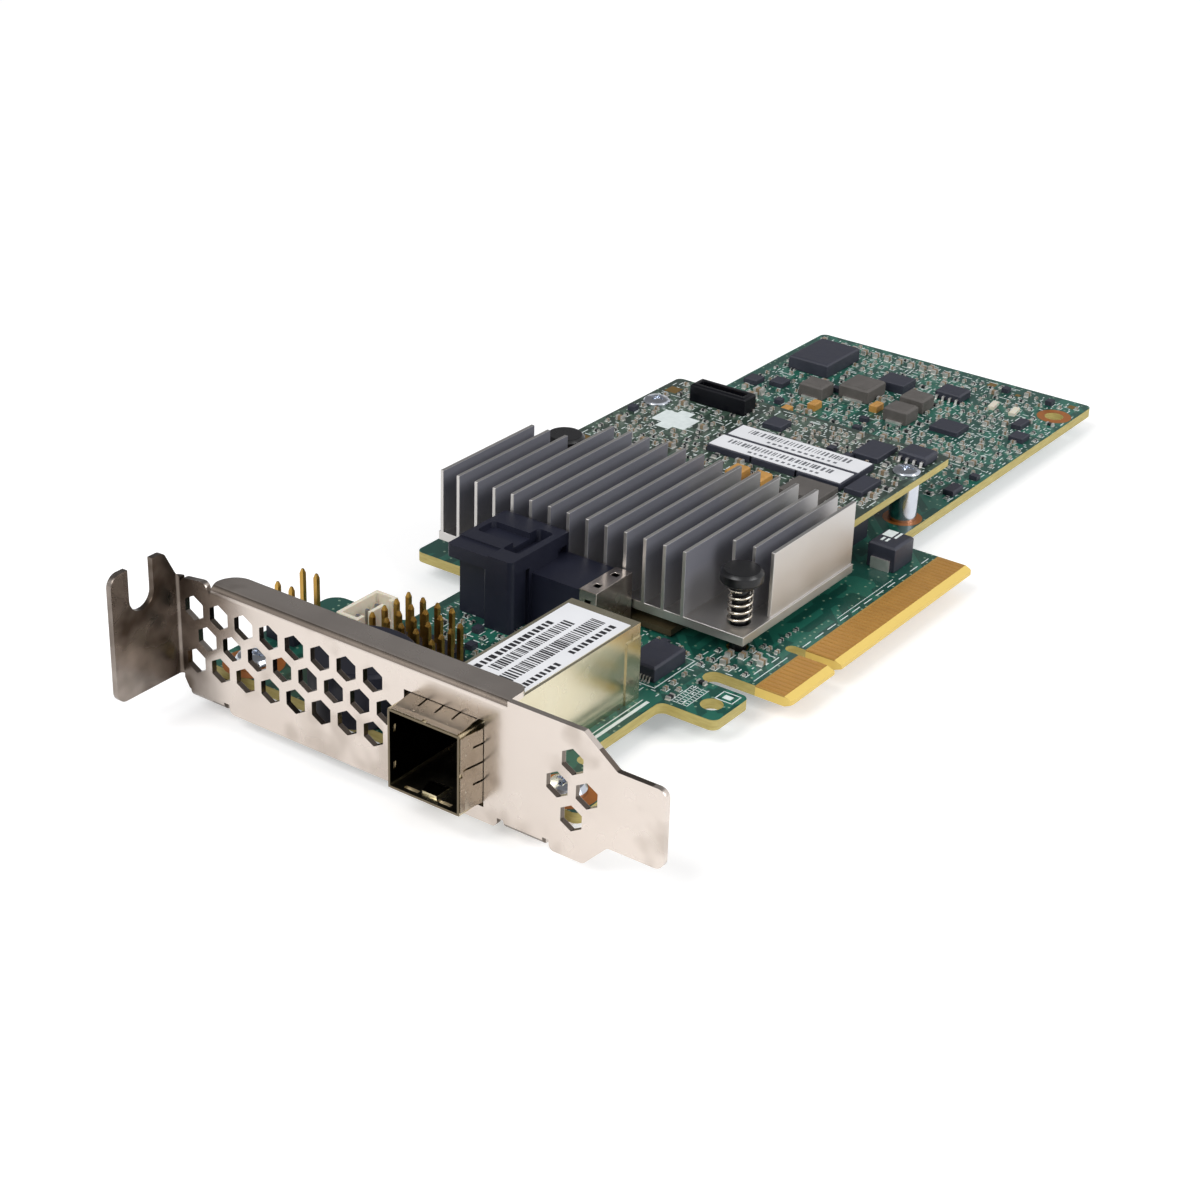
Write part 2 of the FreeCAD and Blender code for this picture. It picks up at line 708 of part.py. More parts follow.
def internal_clip():
    """A folded metal clip over the back end of the housing, with two square locking holes."""
    x0, x1 = inner_low_front - 0.15, inner_rear
    y0, y1 = inner_clip_end, inner_low_end
    top = inner_low_height + clip_sheet
    cover = block(x0, x1, y0, y1, inner_low_height, top)
    back = block(x0, x1, y0, y0 + clip_sheet, 0, inner_low_height)
    sides = [block(x0, x0 + clip_sheet, y0, y1, 0, inner_low_height), block(x1 - clip_sheet, x1, y0, y1, 0, inner_low_height)]
    clip = cover.multiFuse([back] + sides)
    hole = 1.1
    for x in (x0 + 2.3, x1 - 2.1):
        clip = clip.cut(block(x - hole / 2, x + hole / 2, (y0 + y1) / 2 - hole / 2, (y0 + y1) / 2 + hole / 2,
                              inner_low_height - 0.5, top + 1))
    side_hole = block(x0 - 1, x0 + 1, (y0 + y1) / 2 - hole / 2, (y0 + y1) / 2 + hole / 2,
                      inner_low_height - 2 * hole, inner_low_height - hole)
    return clip.cut(side_hole).removeSplitter()


# Heatsink, thermal pad and controller
def heatsink():
    base = block(sink_front, sink_rear, sink_right - 0.3, sink_left + 0.3, sink_base_bottom, sink_base_top)
    fins = []
    for i in range(fin_count):
        y0 = sink_right + i * fin_pitch - (0 if i == 0 else fin_thickness / 2)
        if i == fin_count - 1:
            y0 = sink_left - fin_thickness
        x0 = sink_front + (corner_clear_length if i < corner_clear_fins else 0)
        x1 = sink_rear - (corner_clear_length if i >= fin_count - corner_clear_fins else 0)
        fins.append(slab([(y0, sink_base_top - 0.2), (y0, sink_top), (y0 + fin_thickness, sink_top),
                          (y0 + fin_thickness, sink_base_top - 0.2)], x0, x1, plane_yz))
    sink = base.multiFuse(fins)
    for x, y in (push_front, push_rear):
        sink = sink.cut(post(x, y, pin_hole_radius, sink_base_bottom - 1, sink_base_top + 1))
    return sink.removeSplitter()


def controller_parts():
    half = package_size / 2
    x, y = package_front + half, (sink_right + sink_left) / 2
    cover_top = sink_base_bottom - pad_thickness
    substrate = block(x - half, x + half, y - half, y + half, solder_height, solder_height + package_thickness)
    balls = block(x - half + 1, x + half - 1, y - half + 1, y + half - 1, 0, solder_height)
    cover = package(x, y, die_cover_size, die_cover_size, solder_height + package_thickness, cover_top, 0.3)
    half = die_cover_size / 2
    pad = block(x - half, x + half, y - half, y + half, cover_top, sink_base_bottom)
    return substrate, balls, cover, pad


def push_pin(spot):
    """Cap, collar, shaft and a split barbed tip, turned as one piece."""
    x, y = spot
    cap_bottom = push_cap_top - push_cap_thickness
    collar_bottom = cap_bottom - push_collar_height
    barb = board_bottom - rest_gap
    tip = barb - push_tip_length
    pin = turned([(0, tip), (0.7 * push_shaft_radius, tip), (push_barb_radius, barb - 0.6), (push_barb_radius, barb),
                  (push_shaft_radius, barb), (push_shaft_radius, collar_bottom), (push_collar_radius, collar_bottom),
                  (push_collar_radius, cap_bottom), (push_cap_radius - 0.2, cap_bottom), (push_cap_radius, cap_bottom + 0.3),
                  (push_cap_radius, push_cap_top - 0.5), (push_cap_radius - 0.5, push_cap_top), (0, push_cap_top)], x, y)
    split = block(x - push_split / 2, x + push_split / 2, y - 3, y + 3, tip - 1, barb + 1.0)
    return pin.cut(split)


def pin_spring(spot):
    """A wire spring between the heatsink's base and the pin's collar, its ends lying flat."""
    x, y = spot
    low = sink_base_top + spring_wire / 2
    high = push_cap_top - push_cap_thickness - push_collar_height - spring_gap - spring_wire / 2
    pitch = (high - low) / spring_turns
    helix = Part.makeHelix(pitch, high - low, spring_mean_radius)
    section = Part.Wire(Part.makeCircle(spring_wire / 2, Vector(spring_mean_radius, 0, 0), Vector(0, 1, 0)))
    coil = Part.Wire(helix).makePipeShell([section], True, True)
    coil.translate(Vector(x, y, low))
    return coil


# Cache board and what joins it to the main board
def cache_board():
    board = slab([(cache_front, cache_right, 1.0), (cache_rear, cache_right, 1.0), (cache_rear, cache_left, 1.0),
                  (cache_front, cache_left, 1.0)], cache_bottom, cache_level)
    for x, y in standoffs:
        board = board.cut(post(x, y, standoff_screw_radius + screw_clearance, 0, cache_level + 1))
    return board


def cache_standoffs():
    posts = []
    for x, y in standoffs:
        sleeve = post(x, y, standoff_radius, 0, cache_bottom)
        posts.append(sleeve.cut(post(x, y, standoff_screw_radius, -1, cache_bottom + 1)))
    return posts


def cache_screws():
    return [pan_screw(x, y, board_bottom, cache_level, standoff_screw_radius, standoff_radius, 0.9) for x, y in standoffs]


def stack_connector():
    split = 0.55 * cache_bottom
    socket = block(stack_front, stack_rear, stack_right, stack_left, 0, split)
    groove = block(stack_front + 1.4, stack_rear - 1.4, stack_right + 1.5, stack_left - 1.5, split - 2.0, split + 1)
    socket = socket.cut(groove)
    plug = block(stack_front, stack_rear, stack_right, stack_left, split, cache_bottom)
    blade = block(stack_front + 1.5, stack_rear - 1.5, stack_right + 1.7, stack_left - 1.7, split - 1.9, split)
    return socket, plug.fuse(blade).removeSplitter()


def on_cache(spot):
    """A place measured from the cache board's front right corner."""
    return cache_front + spot[0], cache_right + spot[1]


def gull_leads(spot, foot):
    """Folded leads on both X sides of a small-outline chip that stands at height foot."""
    x, y = spot
    leads = []
    body_length, body_width, body_height = small_outline_size
    shoulder = foot + body_height / 2
    for side in (-1, 1):
        edge = x + side * body_length / 2
        for i in range(4):
            middle = y + (i - 1.5) * lead_pitch
            lead = slab([(edge, shoulder), (edge + side * 0.45, shoulder), (edge + side * 0.6, foot + lead_sheet),
                         (edge + side * lead_reach, foot + lead_sheet), (edge + side * lead_reach, foot),
                         (edge + side * 0.45, foot), (edge + side * 0.3, shoulder - lead_sheet), (edge, shoulder - lead_sheet)],
                        middle - lead_width / 2, middle + lead_width / 2, plane_xz)
            leads.append(lead)
    return leads


def small_outline_chip(spot, foot):
    """An eight-lead chip, its leads on the sides that face along the card."""
    length, width, height = small_outline_size
    body = package(spot[0], spot[1], length, width, foot + 0.1, foot + height, 0.3)
    return body, gull_leads(spot, foot)


def header(spot, columns, rows, pitch):
    """A pin header: its plastic base and its square pins, from the first pin's place."""
    x, y = spot
    base = block(x - pitch / 2, x + (columns - 0.5) * pitch, y - pitch / 2, y + (rows - 0.5) * pitch, 0, header_base_height)
    pins = []
    half = header_pin_side / 2
    shoulder = header_pin_top - header_pin_side
    for i in range(columns):
        for j in range(rows):
            px, py = x + i * pitch, y + j * pitch
            base = base.cut(block(px - half, px + half, py - half, py + half, -1, header_base_height + 1))
            shaft = block(px - half, px + half, py - half, py + half, 0, shoulder)
            point = Part.makeLoft([Part.makePolygon([Vector(px + a * s, py + b * s, z) for a, b in
                                                    ((-1, -1), (1, -1), (1, 1), (-1, 1), (-1, -1))])
                                   for s, z in ((half, shoulder), (0.45 * half, header_pin_top))], True)
            pins.append(shaft.fuse(point).removeSplitter())
    return base, pins


def inductor(size, spot, end_height):
    """A pressed inductor block between its two metal end plates."""
    x, y = spot
    length, width, height = size
    plate = 0.3
    body = package(x, y, length - 2 * plate, width, 0, height, 0.35)
    ends = [block(x + side * (length - plate) / 2 - plate / 2, x + side * (length - plate) / 2 + plate / 2,
                  y - width / 3, y + width / 3, 0, end_height) for side in (-1, 1)]
    return body, ends


def chip_row(size, spot, count, step_x, step_y, foot=0.0):
    """Equal small parts in a row, from the middle of the first."""
    length, width, height = size
    return [block(spot[0] + i * step_x - length / 2, spot[0] + i * step_x + length / 2,
                  spot[1] + i * step_y - width / 2, spot[1] + i * step_y + width / 2, foot, foot + height)
            for i in range(count)]


os.makedirs("parts", exist_ok=True)

save("main_board", main_board())
save("edge_contacts", edge_contacts())
save("slot_bracket", bracket())
save("bracket_screws", bracket_screw_set())
save("external_port_cage", external_cage())
save("external_port_gasket", port_gasket())
save("external_port_receptacle", external_receptacle())
save("external_port_contacts", external_contacts())
save("cage_label", cage_label())
save("internal_port_housing", internal_housing())
save("internal_port_contacts", internal_contacts())
save("internal_port_clip", internal_clip())
save("heatsink", heatsink())
substrate, balls, cover, pad = controller_parts()
save("controller_substrate", substrate)
save("controller_solder_grid", balls)
save("controller_lid", cover)
save("thermal_pad", pad)
save("push_pin_front", push_pin(push_front))
save("push_pin_rear", push_pin(push_rear))
save("pin_spring_front", pin_spring(push_front))
save("pin_spring_rear", pin_spring(push_rear))
save("cache_board", cache_board())
save("cache_standoffs", cache_standoffs())
save("cache_screws", cache_screws())
stack_socket, stack_plug = stack_connector()
save("stack_socket", stack_socket)
save("stack_plug", stack_plug)

# Chips on the cache board
memory_length, memory_width, memory_height = memory_size
memory_front, memory_right = on_cache(memory_spot)
memory_rear = memory_front + memory_length
memory_top = cache_level + memory_height
memory_left = memory_right + 3 * memory_width + 2 * memory_gap
save("memory_chips", [package((memory_front + memory_rear) / 2, memory_right + memory_width / 2 + i * (memory_width + memory_gap),
                              memory_length, memory_width, cache_level, memory_top) for i in range(3)])
label_gap = 2 * memory_gap
label_split = memory_front + 0.45 * memory_length
save("memory_labels", [block(memory_front + 0.3, label_split, memory_right + 0.3, memory_left - 0.1,
                             memory_top, memory_top + label_sheet),
                       block(label_split + label_gap, memory_rear - 0.4, memory_right + 0.1, memory_left - 0.4,
                             memory_top, memory_top + label_sheet)])
save("power_monitor_chip", on_board(power_monitor_size, on_cache(power_monitor_spot), cache_level))
save("buffer_chip", on_board(buffer_size, on_cache(buffer_spot), cache_level))
save("flash_chip", on_board(flash_size, on_cache(flash_spot), cache_level))
save("charger_chip", on_board(charger_size, on_cache(charger_spot), cache_level))
cache_soic, cache_soic_leads = small_outline_chip(on_cache(cache_soic_spot), cache_level)
save("cache_soic", cache_soic)
save("tantalum_capacitors", [on_board(tantalum_size, on_cache(spot), cache_level, 0.25) for spot in tantalum_spots])

# Power socket at the rear edge of the cache board
socket_length, socket_width, socket_height = power_socket_size
socket_x, socket_y = on_cache(power_socket_spot)
socket_top = cache_level + socket_height
well_bottom = socket_top - 0.75 * socket_height
power_socket = on_board(power_socket_size, (socket_x, socket_y), cache_level, 0.3)
half_length, half_width = socket_length / 2 - power_socket_wall, socket_width / 2 - power_socket_wall
save("power_socket", power_socket.cut(block(socket_x - half_length, socket_x + half_length, socket_y - half_width,
                                            socket_y + half_width, well_bottom, socket_top + 1)))
save("power_socket_contacts", [block(socket_x - 0.3, socket_x + 0.3, socket_y + i - 0.2, socket_y + i + 0.2,
                                     well_bottom, socket_top - 0.6) for i in (-3.5, -2.5, -1.5, -0.5, 0.5, 1.5, 2.5, 3.5)])

# Sounder
rim = 0.5
save("sounder", turned([(sounder_hole_radius, sounder_height - sounder_recess), (sounder_hole_radius, sounder_height),
                        (sounder_radius - rim, sounder_height), (sounder_radius, sounder_height - rim), (sounder_radius, 0),
                        (0, 0), (0, sounder_height - sounder_recess)], sounder_spot[0], sounder_spot[1]))

# Headers near the bracket
bases, pins = [], []
for spot, columns, rows, pitch in ((header_spots[0], 1, 2, header_pitch), (header_spots[1], 1, 2, header_pitch),
                                   (grid_header_spot, 4, 4, header_pitch), (lamp_header_spot, 4, 1, lamp_header_pitch)):
    base, set_of_pins = header(spot, columns, rows, pitch)
    bases.append(base.cut(post(sounder_spot[0], sounder_spot[1], sounder_radius + rest_gap, -1, header_pin_top)))
    pins += set_of_pins
save("header_bases", bases)
save("header_pins", pins)

# White three-way socket with two keyways in its right wall
white_length, white_width, white_height = cable_socket_size
white_x, white_y = cable_socket_spot
white = block(white_x - white_length / 2, white_x + white_length / 2, white_y - white_width / 2, white_y + white_width / 2,
              0, white_height)
inside_length, inside_width = white_length / 2 - cable_socket_wall, white_width / 2 - cable_socket_wall
white = white.cut(block(white_x - inside_length, white_x + inside_length, white_y - inside_width, white_y + inside_width,
                        cable_socket_floor, white_height + 1))
for side in (-1, 1):
    keyway = white_x + side * white_length / 4
    white = white.cut(block(keyway - cable_socket_wall, keyway + cable_socket_wall, white_y - white_width, white_y,
                            white_height / 2, white_height + 1))
save("cable_socket", white)
half_pin = cable_socket_pin / 2
save("cable_socket_pins", [block(white_x + i * cable_socket_pitch - half_pin, white_x + i * cable_socket_pitch + half_pin,
                                 white_y - half_pin, white_y + half_pin, cable_socket_floor, white_height - 0.8)
                         for i in (-1, 0, 1)])

# Power parts
choke_body, choke_ends = inductor(choke_size, choke_spot, choke_end_height)
save("choke", choke_body)
coil_bodies, coil_ends = [], list(choke_ends)
for size, spot in [(coil_size, spot) for spot in coil_spots] + [(large_coil_size, large_coil_spot)]:
    body, ends = inductor(size, spot, coil_end_height)
    coil_bodies.append(body)
    coil_ends += ends
save("power_inductors", coil_bodies)
save("inductor_terminals", coil_ends)
save("regulator_module", on_board(regulator_module_size, regulator_module_spot, 0, 0.3))
save("regulator_chips", [on_board(switch_size, switch_spot), on_board(quad_size, quad_spot)]
     + [on_board(gate_size, spot) for spot in gate_spots] + [on_board(diode_size, spot) for spot in diode_spots])
save("filter_capacitors", [on_board(filter_size, spot, 0, 0.2) for spot in filter_spots])
soic_bodies, soic_leads = [], list(cache_soic_leads)
for spot in small_outline_spots:
    body, leads = small_outline_chip(spot, 0)
    soic_bodies.append(body)
    soic_leads += leads
save("small_outline_chips", soic_bodies)
save("small_outline_leads", soic_leads)
save("interface_chip", on_board(interface_size, interface_spot, 0, 0.3))
save("crystal", on_board(crystal_size, crystal_spot, 0, 0.3))
save("status_lights", [on_board(lamp_size, spot, 0, 0.2) for spot in lamp_spots])

# Ceramic capacitors and resistors, in rows across the board
across = 1.5 * capacitor_size[0]
ceramics = chip_row(tall_capacitor_size, tall_capacitor_spot, tall_capacitor_count, 2 * tall_capacitor_size[0], 0)
for spot, count in zip(capacitor_spots, capacitor_counts):
    ceramics += chip_row(capacitor_size, spot, count, 0, across)
for spot in lone_capacitor_spots:
    ceramics += chip_row(capacitor_size, spot, 1, 0, 0)
save("ceramic_capacitors", ceramics)
resistors = chip_row(resistor_size, key_resistor_spot, key_resistor_count, 2 * resistor_size[0], 0)
for spot, count in zip(resistor_spots, resistor_counts):
    resistors += chip_row(resistor_size, spot, count, 0, 2 * resistor_size[0])
save("chip_resistors", resistors)
cache_chips = []
for spot, count in zip(cache_capacitor_spots, cache_capacitor_counts):
    cache_chips += chip_row(resistor_size, on_cache(spot), count, 0, 2.5 * resistor_size[0], cache_level)
save("cache_capacitors", cache_chips)
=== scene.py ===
# %% [markdown]
# # A storage controller card, dressed for its portrait
#
# The solids of the card come ready made from the shared frame, at their real size and in their
# real places. Here they get their finishes, their small parts and their print, and then light
# and a camera. Everything is in metres, so a helper turns millimetres into metres.

# %% Load the frame
import json
import math
import random

import bpy
from mathutils import Matrix, Vector

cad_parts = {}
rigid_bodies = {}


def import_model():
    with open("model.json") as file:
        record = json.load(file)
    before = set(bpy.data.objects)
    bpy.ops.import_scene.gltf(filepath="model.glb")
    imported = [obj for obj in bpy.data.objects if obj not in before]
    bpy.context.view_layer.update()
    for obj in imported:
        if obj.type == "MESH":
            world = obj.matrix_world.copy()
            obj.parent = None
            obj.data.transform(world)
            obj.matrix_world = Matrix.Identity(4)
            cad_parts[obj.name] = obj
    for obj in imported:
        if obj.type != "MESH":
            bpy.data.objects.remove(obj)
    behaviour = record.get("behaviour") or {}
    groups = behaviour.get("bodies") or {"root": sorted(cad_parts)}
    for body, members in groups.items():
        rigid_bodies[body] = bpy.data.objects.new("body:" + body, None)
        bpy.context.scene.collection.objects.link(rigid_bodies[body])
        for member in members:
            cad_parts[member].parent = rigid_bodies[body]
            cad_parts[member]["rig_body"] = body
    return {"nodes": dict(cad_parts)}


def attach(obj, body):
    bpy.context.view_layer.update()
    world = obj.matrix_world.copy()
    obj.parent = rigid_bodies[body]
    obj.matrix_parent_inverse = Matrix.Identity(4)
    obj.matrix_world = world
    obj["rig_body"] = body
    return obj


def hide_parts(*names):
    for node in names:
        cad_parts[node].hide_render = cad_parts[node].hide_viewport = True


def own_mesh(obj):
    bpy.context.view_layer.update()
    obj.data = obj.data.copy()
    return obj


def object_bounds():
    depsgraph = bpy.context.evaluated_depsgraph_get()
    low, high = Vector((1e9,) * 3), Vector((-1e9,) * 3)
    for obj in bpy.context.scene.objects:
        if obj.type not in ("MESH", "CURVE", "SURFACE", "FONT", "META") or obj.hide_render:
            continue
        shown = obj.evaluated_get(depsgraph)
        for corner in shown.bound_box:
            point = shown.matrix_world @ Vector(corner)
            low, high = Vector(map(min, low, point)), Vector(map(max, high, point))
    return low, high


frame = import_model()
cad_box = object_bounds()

MM = 0.001
print("nodes:", len(frame["nodes"]), "box:", [[round(v / MM, 2) for v in corner] for corner in cad_box])

# %% [markdown]
# Distances along the card are easiest to read from the outer face of the slot bracket, as a
# maker would measure them with a rule. The frame has its origin at the key of the contact
# tongue instead, 59.05 mm further in, so one function turns a measured place into the frame,
# and another turns it back.

# %% Places on the card
BRACKET_TO_KEY = 59.05


def place(x, y, z):
    """A point measured in mm from the bracket's face, the finger ends and the board's top side."""
    return Vector(((x - BRACKET_TO_KEY) * MM, y * MM, z * MM))


def measured(point):
    """The other way round: the measured X, Y and Z in mm of a point in the frame."""
    return point.x / MM + BRACKET_TO_KEY, point.y / MM, point.z / MM


print("key slot at", place(BRACKET_TO_KEY, 0, 0))

# %% [markdown]
# ## Camera
#
# The card was photographed from in front of its bracket and a little above, with a lens of
# about 73 mm on a 36 mm wide frame. Two angles and a slight roll set which way the camera
# looks; its axes are built from them, which avoids any guess about the order of rotations.

# %% Camera
LOOK_ALONG, LOOK_DOWN, CAMERA_ROLL = math.radians(34.88), math.radians(27.18), math.radians(1.95)
CAMERA_SPOT = place(-203.8, -142.7, 161.5)
FRAME_WIDTH, FOCAL_LENGTH, NEAREST = 36.0, 73.44, 0.01

look = Vector((math.cos(LOOK_DOWN) * math.cos(LOOK_ALONG), math.cos(LOOK_DOWN) * math.sin(LOOK_ALONG),
               -math.sin(LOOK_DOWN)))
level_right = look.cross(Vector((0, 0, 1))).normalized()
level_up = level_right.cross(look)
right = level_right * math.cos(CAMERA_ROLL) + level_up * math.sin(CAMERA_ROLL)
up = level_up * math.cos(CAMERA_ROLL) - level_right * math.sin(CAMERA_ROLL)

lens = bpy.data.cameras.new("portrait_camera")
lens.sensor_width = FRAME_WIDTH
lens.lens = FOCAL_LENGTH
lens.clip_start = NEAREST
camera = bpy.data.objects.new("portrait_camera", lens)
camera.matrix_world = Matrix((
    (right.x, up.x, -look.x, CAMERA_SPOT.x),
    (right.y, up.y, -look.y, CAMERA_SPOT.y),
    (right.z, up.z, -look.z, CAMERA_SPOT.z),
    (0, 0, 0, 1)))
bpy.context.scene.collection.objects.link(camera)
bpy.context.scene.camera = camera
print("camera", [round(v, 4) for v in CAMERA_SPOT])

# %% [markdown]
# ## Helpers for materials
#
# Colours are written as they would be picked from a picture, in sRGB, and Blender works in
# linear light, so one function converts them. Another adds a node, sets it up and wires it, and
# a few short ones use it for the nodes that come back most often.

# %% Colour and node helpers
def srgb(code):
    """Turns a hex colour such as 'c8a050' into the linear values that Blender wants."""
    parts = [int(code[i:i + 2], 16) / 255 for i in (0, 2, 4)]
    return tuple(c / 12.92 if c <= 0.04045 else ((c + 0.055) / 1.055) ** 2.4 for c in parts) + (1.0,)


def add_node(tree, kind, wires=None, **settings):
    """Adds one node; wires holds a value or another node's output for each input."""
    node = tree.nodes.new(kind)
    for name, value in settings.items():
        setattr(node, name, value)
    for name, value in (wires or {}).items():
        if isinstance(value, bpy.types.NodeSocket):
            tree.links.new(value, node.inputs[name])
        else:
            node.inputs[name].default_value = value
    return node


def calc(tree, operation, *values):
    """One step of arithmetic on numbers or other nodes' outputs."""
    return add_node(tree, "ShaderNodeMath", dict(enumerate(values)), operation=operation).outputs[0]


def remap(tree, value, before=(0.0, 1.0), after=(0.0, 1.0), **settings):
    """A value carried from one range into another."""
    wires = {"Value": value, "From Min": before[0], "From Max": before[1],
             "To Min": after[0], "To Max": after[1]}
    return add_node(tree, "ShaderNodeMapRange", wires, **settings).outputs["Result"]


def mix(tree, factor, first, second, data_type="RGBA", **settings):
    """Two colours, or two numbers, mixed by a factor."""
    wires = {"Factor": factor, "A": first, "B": second}
    return add_node(tree, "ShaderNodeMix", wires, data_type=data_type, **settings).outputs["Result"]


def per_mm(size):
    """The scale of a pattern whose repeat is this many millimetres, on coordinates in metres."""
    return 1.0 / (size * MM)


def noise(tree, spot, size, detail=2.0, roughness=0.5):
    """Soft noise whose features are about this many millimetres wide."""
    wires = {"Vector": spot, "Scale": per_mm(size), "Detail": detail, "Roughness": roughness}
    return add_node(tree, "ShaderNodeTexNoise", wires).outputs["Fac"]


def axes_of(tree, vector):
    """The three numbers of a vector, by the names X, Y and Z."""
    return add_node(tree, "ShaderNodeSeparateXYZ", {"Vector": vector}).outputs


def facing(tree, axis):
    """How squarely a face looks along an axis, either way: from none to one."""
    normal = add_node(tree, "ShaderNodeTexCoord").outputs["Normal"]
    return calc(tree, "ABSOLUTE", axes_of(tree, normal)[axis])


def new_finish(name, colour, roughness, metallic=0.0, **sockets):
    """A material with its shader; the shader's other sockets are named with underscores."""
    material = bpy.data.materials.new(name)
    material.use_nodes = True
    tree = material.node_tree
    shader = tree.nodes["Principled BSDF"]
    shader.inputs["Base Color"].default_value = srgb(colour)
    shader.inputs["Roughness"].default_value = roughness
    shader.inputs["Metallic"].default_value = metallic
    for socket, value in sockets.items():
        shader.inputs[socket.replace("_", " ")].default_value = value
    return material, tree, shader


print("helpers ready; a 2 mm pattern has scale", per_mm(2))

# %% [markdown]
# Most finishes need the same two things: a slow drift of colour and gloss over the surface, and
# a fine texture in relief. This function adds both, each at its own real size, so that no
# surface stays a flat colour. Many finishes need nothing else, and a second function makes them.

# %% Drift and grain
NOISE_SPAN = (0.3, 0.7)
GRAIN_STRENGTH = 0.6


def drift_and_grain(tree, shader, colour, darker, drift_size, gloss, grain_size, relief, stretch=(1, 1, 1)):
    """Mixes two colours and two roughness values slowly, and raises a fine grain (sizes in mm)."""
    spot = add_node(tree, "ShaderNodeTexCoord").outputs["Object"]
    drift = noise(tree, spot, drift_size, 3.0, 0.55)
    tint = mix(tree, drift, srgb(darker), srgb(colour))
    tree.links.new(tint, shader.inputs["Base Color"])
    tree.links.new(remap(tree, drift, NOISE_SPAN, gloss), shader.inputs["Roughness"])
    lined = add_node(tree, "ShaderNodeMapping", {"Vector": spot, "Scale": stretch}).outputs["Vector"]
    grain = noise(tree, lined, grain_size)
    bump = add_node(tree, "ShaderNodeBump", {"Height": grain, "Strength": GRAIN_STRENGTH,
                                             "Distance": relief * MM})
    tree.links.new(bump.outputs["Normal"], shader.inputs["Normal"])
    return spot, drift, tint


def grained(name, colour, roughness, metallic, *grain, **sockets):
    """A finish with drift and grain and nothing more."""
    material, tree, shader = new_finish(name, colour, roughness, metallic, **sockets)
    drift_and_grain(tree, shader, *grain)
    return material


# %% [markdown]
# Some pieces get painted shade in places: the inside of the port is painted dark, and the fin
# channels are painted darker than the tips. Two more helpers lay one colour over another, and
# tell whether a point lies within a box on the card.

# %% Colour by place
def lay_over(tree, shader, below, factor, colour):
    """Mixes a colour over the one that the shader has so far."""
    mixed = mix(tree, factor, below, srgb(colour))
    tree.links.new(mixed, shader.inputs["Base Color"])
    return mixed


def inside(tree, spot, low, high):
    """One where a point lies between two corners, given in mm as in place()."""
    first, last = place(*low), place(*high)
    axes = axes_of(tree, spot)
    within = 1.0
    for number, axis in enumerate("XYZ"):
        middle = (first[number] + last[number]) / 2
        half = (last[number] - first[number]) / 2
        near = calc(tree, "COMPARE", axes[axis], middle, half)
        within = calc(tree, "MULTIPLY", near, within)
    return within


# %% [markdown]
# ## Metals
#
# The bracket is mild steel, stamped and folded and then nickel plated: a warm grey mirror that
# is a little blurred by the rolled sheet under it. Soft darker patches laid at random are painted
# dark reflections, and towards its flange a darker tone is a painted dark reflection too.
# The cut walls of its holes and the fold of its lip get a painted grey shade. The port cage and
# its gasket are nickel-silver sheet, thinner and yellower; inside its mouth the cage is painted
# near black as shade, where no light reaches, and its front rim is painted darker as shade.

# %% Plated steel
# The height at which the painted dark reflection near the flange starts, and where it is full, in metres.
FLANGE_DARK_REFLECTION = (0.0575, 0.0665)
# A face of the plate looks along the card; the cut wall of a hole doesn't, a fold does by half.
SQUARE_TO_CARD = 0.93
FOLD_TILT, FOLD_RANGE = 0.73, 0.2
PIERCED_PLATE = (0.03, -9, -9), (0.83, 62, 14.3)
LIP_FOLD = (-0.1, 11, 14.3), (1.6, 64, 16.3)

nickel_plate, tree, shader = new_finish("nickel_plated_steel", "d0c6bc", 0.26, 1.0)
spot, drift, tint = drift_and_grain(tree, shader, "ddd3ca", "cbc0b7", 9.0, (0.20, 0.32), 1.1, 0.006)
# Painted dark reflections: soft darker patches laid at random.
painted_dark_patches = remap(tree, noise(tree, spot, 7.0), (0.56, 0.72), (0.0, 0.4), interpolation_type="SMOOTHSTEP")
tint = lay_over(tree, shader, tint, painted_dark_patches, "9a8d81")
# Painted dark reflection that grows towards the flange.
painted_flange_reflection = remap(tree, axes_of(tree, spot)["Y"], FLANGE_DARK_REFLECTION, (0.0, 1.5), interpolation_type="SMOOTHSTEP")
tint = lay_over(tree, shader, tint, calc(tree, "MULTIPLY", painted_flange_reflection, drift), "51463d")
# Painted shade on the cut walls of the holes, and over the fold of the lip, where it dims the reflection.
ahead = facing(tree, "X")
is_cut = calc(tree, "LESS_THAN", ahead, SQUARE_TO_CARD)
painted_hole_shade = calc(tree, "MULTIPLY", is_cut, inside(tree, spot, *PIERCED_PLATE))
tint = lay_over(tree, shader, tint, painted_hole_shade, "71675e")
is_fold = calc(tree, "COMPARE", ahead, FOLD_TILT, FOLD_RANGE)
folded = calc(tree, "MULTIPLY", is_fold, inside(tree, spot, *LIP_FOLD))
lay_over(tree, shader, tint, folded, "857a70")

# %% Nickel silver
CAGE_MOUTH_SHADE = (-5.0, 16.8, 0.6), (33.5, 27.7, 11.15)
CAGE_RIM_SHADE = (-5.0, 16.0, -1.0), (-3.9, 28.5, 12.0)

cage_plate, tree, shader = new_finish("nickel_silver_sheet", "dcd5bd", 0.24, 1.0)
spot, drift, tint = drift_and_grain(tree, shader, "e0d9c2", "c6bc9c", 6.0, (0.17, 0.30), 1.6, 0.010)
# Painted shade: the inside of the mouth is painted near black, and its front rim darker.
tint = lay_over(tree, shader, tint, inside(tree, spot, *CAGE_MOUTH_SHADE), "14130f")
lay_over(tree, shader, tint, inside(tree, spot, *CAGE_RIM_SHADE), "6e6453")

spring_plate = grained("copper_nickel_spring_sheet", "b5aa9b", 0.28, 1.0,
                       "beb3a4", "988d7e", 3.0, (0.2, 0.36), 0.5, 0.003)

